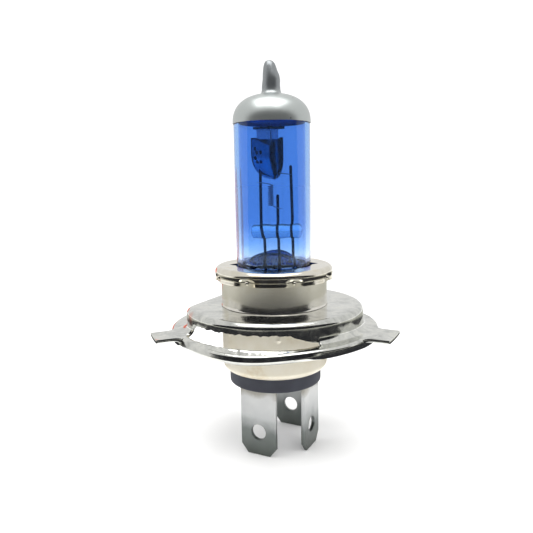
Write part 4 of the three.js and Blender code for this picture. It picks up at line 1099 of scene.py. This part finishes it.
# Painted shade: the colour darkens towards the blades' ends, where they reflect the shadowed floor beside
# them, and dips a little just under the insulator.
share = add(tree, "MapRange", {0: level.outputs[0], 1: -0.0262, 2: -0.0125}).outputs[0]
colour = add(tree, "ValToRGB", {0: share}, stops=[
    (0.0, "#5c615d"), (0.35, "#727775"), (0.6, "#b2b4b4"), (0.9, "#cbcccb"), (1.0, "#a6a39b"),
])
rough = add(tree, "MapRange", {0: scratch.outputs[0], 3: 0.26, 4: 0.44}).outputs[0]
bump = add(tree, "Bump", {"Height": scratch.outputs[0], "Strength": 0.08, "Distance": 0.00004})
shader = add(tree, "BsdfPrincipled", {
    "Base Color": colour.outputs[0], "Metallic": 0.9, "Roughness": rough, "Normal": bump.outputs[0],
})
add(tree, "OutputMaterial", {0: shader.outputs[0]})
for key, angle in (("common", -90), ("main", 90), ("dip", 0)):
    flat = blade_points()
    out = BLADE_FACE - BLADE_THICK / 2 + flat[..., 2]
    points = about_axis(points_of(out, flat[..., 0], flat[..., 1]), np.radians(angle))
    rows, columns = points.shape[:2]
    faces = grid_faces(rows, columns, wrap_rows=True)
    mesh_piece(f"blade_{key}", points.reshape(-1, 3), faces, tinned, 25, [f"terminal_{key}"])

# ---- Plain studio ---------------------------------------------------------------------------------
# A pale floor under the blades' ends and a bright plain surround, lit by three soft boxes. Cards stand round
# the bulb, seen only in its gloss: black cloth, grey paper, and an orange card that shows in its glass too.

floor_look, tree = material("pale_paper_sweep")
shader = add(tree, "BsdfPrincipled", {"Base Color": linear("#f4f4f4"), "Roughness": 0.9})
add(tree, "OutputMaterial", {0: shader.outputs[0]})
bpy.ops.mesh.primitive_plane_add(size=6.0, location=(0, 0, cad_box[0][2] - 0.00002))
floor = bpy.context.object
floor.name = "floor"
floor.data.materials.append(floor_look)

SEEN_THROUGH = 0.905                   # so that the floor and the surround look alike through the glass
world = bpy.data.worlds.new("studio")
bpy.context.scene.world = world
world.use_nodes = True
tree = world.node_tree
tree.nodes.clear()
path_kind = add(tree, "LightPath")
seen = path_kind.outputs["Is Transmission Ray"]
through = add(tree, "Math", {0: 1.0, 1: seen}, operation="SUBTRACT")
gloss = add(tree, "Math", {0: path_kind.outputs["Is Glossy Ray"], 1: through.outputs[0]}, operation="MULTIPLY")
strength = add(tree, "MapRange", {0: gloss.outputs[0], 3: 1.15, 4: 0.85})
level = add(tree, "MapRange", {0: seen, 3: 1.0, 4: SEEN_THROUGH}).outputs[0]
strength = add(tree, "Math", {0: strength.outputs[0], 1: level}, operation="MULTIPLY")
sky = add(tree, "Background", {0: (1.0, 1.0, 1.0, 1.0), 1: strength.outputs[0]})
add(tree, "OutputWorld", {0: sky.outputs[0]})


def soft_box(name, place, aim, width, height, power):
    """A white area light at a place, turned to face its aim; power in watts."""
    lamp = bpy.data.lights.new(name, "AREA")
    lamp.shape = "RECTANGLE"
    lamp.size, lamp.size_y = width, height
    lamp.energy = power
    made = bpy.data.objects.new(name, lamp)
    bpy.context.scene.collection.objects.link(made)
    made.location = place
    made.rotation_euler = (Vector(aim) - Vector(place)).to_track_quat("-Z", "Y").to_euler()
    made.visible_transmission = False
    return made


CENTRE = (0.0, 0.0, 0.015)
soft_box("soft_box_top", (0.01, -0.05, 0.36), CENTRE, 0.36, 0.30, 0.95)
for name, place in (("soft_box_left", (-0.28, -0.14, 0.10)), ("soft_box_right", (0.30, 0.02, 0.10))):
    soft_box(name, place, CENTRE, 0.20, 0.30, 0.35).visible_glossy = False

heading = np.array([ahead[0], ahead[1], 0.0]) / np.hypot(ahead[0], ahead[1])
sideways = np.array([heading[1], -heading[0], 0.0])
upward = np.array([0.0, 0.0, 1.0])


def oval(centre, reach, rise):
    """Points of an ellipse, in millimetres: centre + reach cos t + rise sin t."""
    t = np.arange(72) * FULL_TURN / 72
    return centre + np.cos(t)[:, None] * reach + np.sin(t)[:, None] * rise


def card(name, rims, colour, glass=False, closed=True):
    """A card inside one rim, or between two. Only gloss sees it, or glass too if asked."""
    look, tree = material(name)
    shader = add(tree, "BsdfPrincipled", {"Base Color": linear(colour), "Roughness": 1.0})
    add(tree, "OutputMaterial", {0: shader.outputs[0]})
    mesh = bpy.data.meshes.new(name)
    count = len(rims[0])
    faces = grid_faces(2, count, wrap_columns=closed).tolist() if len(rims) == 2 else [list(range(count))]
    mesh.from_pydata((np.concatenate(rims) * MM).tolist(), [], faces)
    mesh.materials.append(look)
    made = bpy.data.objects.new(name, mesh)
    bpy.context.scene.collection.objects.link(made)
    made.visible_camera = made.visible_diffuse = made.visible_shadow = False
    made.visible_transmission = glass


# Black cloth curves round the front of the bulb and lies before it, grey paper lies under that, and an orange
# card stands low behind on the left: the metal shows them as dark bands and thin warm lines.
CLEAR = 46                             # the floor is left bare this near the axis
CLOTH_REACH = 143
PAPER_WIDE, PAPER_DEEP = 300, 270
FLAG_SWEEP = 82                        # degrees that the front flag curves round to each side
FLAG_AWAY = 300
FLAG_HEIGHT = 300
a = np.radians(np.linspace(-FLAG_SWEEP, FLAG_SWEEP, 72))[:, None]
foot = FLAG_AWAY * (np.sin(a) * sideways - np.cos(a) * heading) - upward * 25.5
head = foot + upward * FLAG_HEIGHT * np.sqrt(np.clip(np.cos(a * 90 / FLAG_SWEEP), 0, None))
card("black_flag_front", [foot, head], "#0d0f16", closed=False)
low = -upward * 25.9
card("black_flag_floor", [oval(low, sideways * CLEAR, heading * CLEAR),
                          oval(low - heading * 30, sideways * CLOTH_REACH, heading * CLOTH_REACH)], "#0d0f16")
lower = -upward * 25.95
card("grey_paper_floor", [oval(lower, sideways * CLEAR, heading * CLEAR),
                          oval(lower - heading * 60, sideways * PAPER_WIDE, heading * PAPER_DEEP)], "#9c9c94")
BESIDE = np.radians(27)
behind = heading * np.cos(BESIDE) - sideways * np.sin(BESIDE)
round_card = oval(behind * 180 + upward * 2, np.cross(behind, upward) * 24, upward * 34)
card("orange_card", [round_card], "#c87060", glass=True)
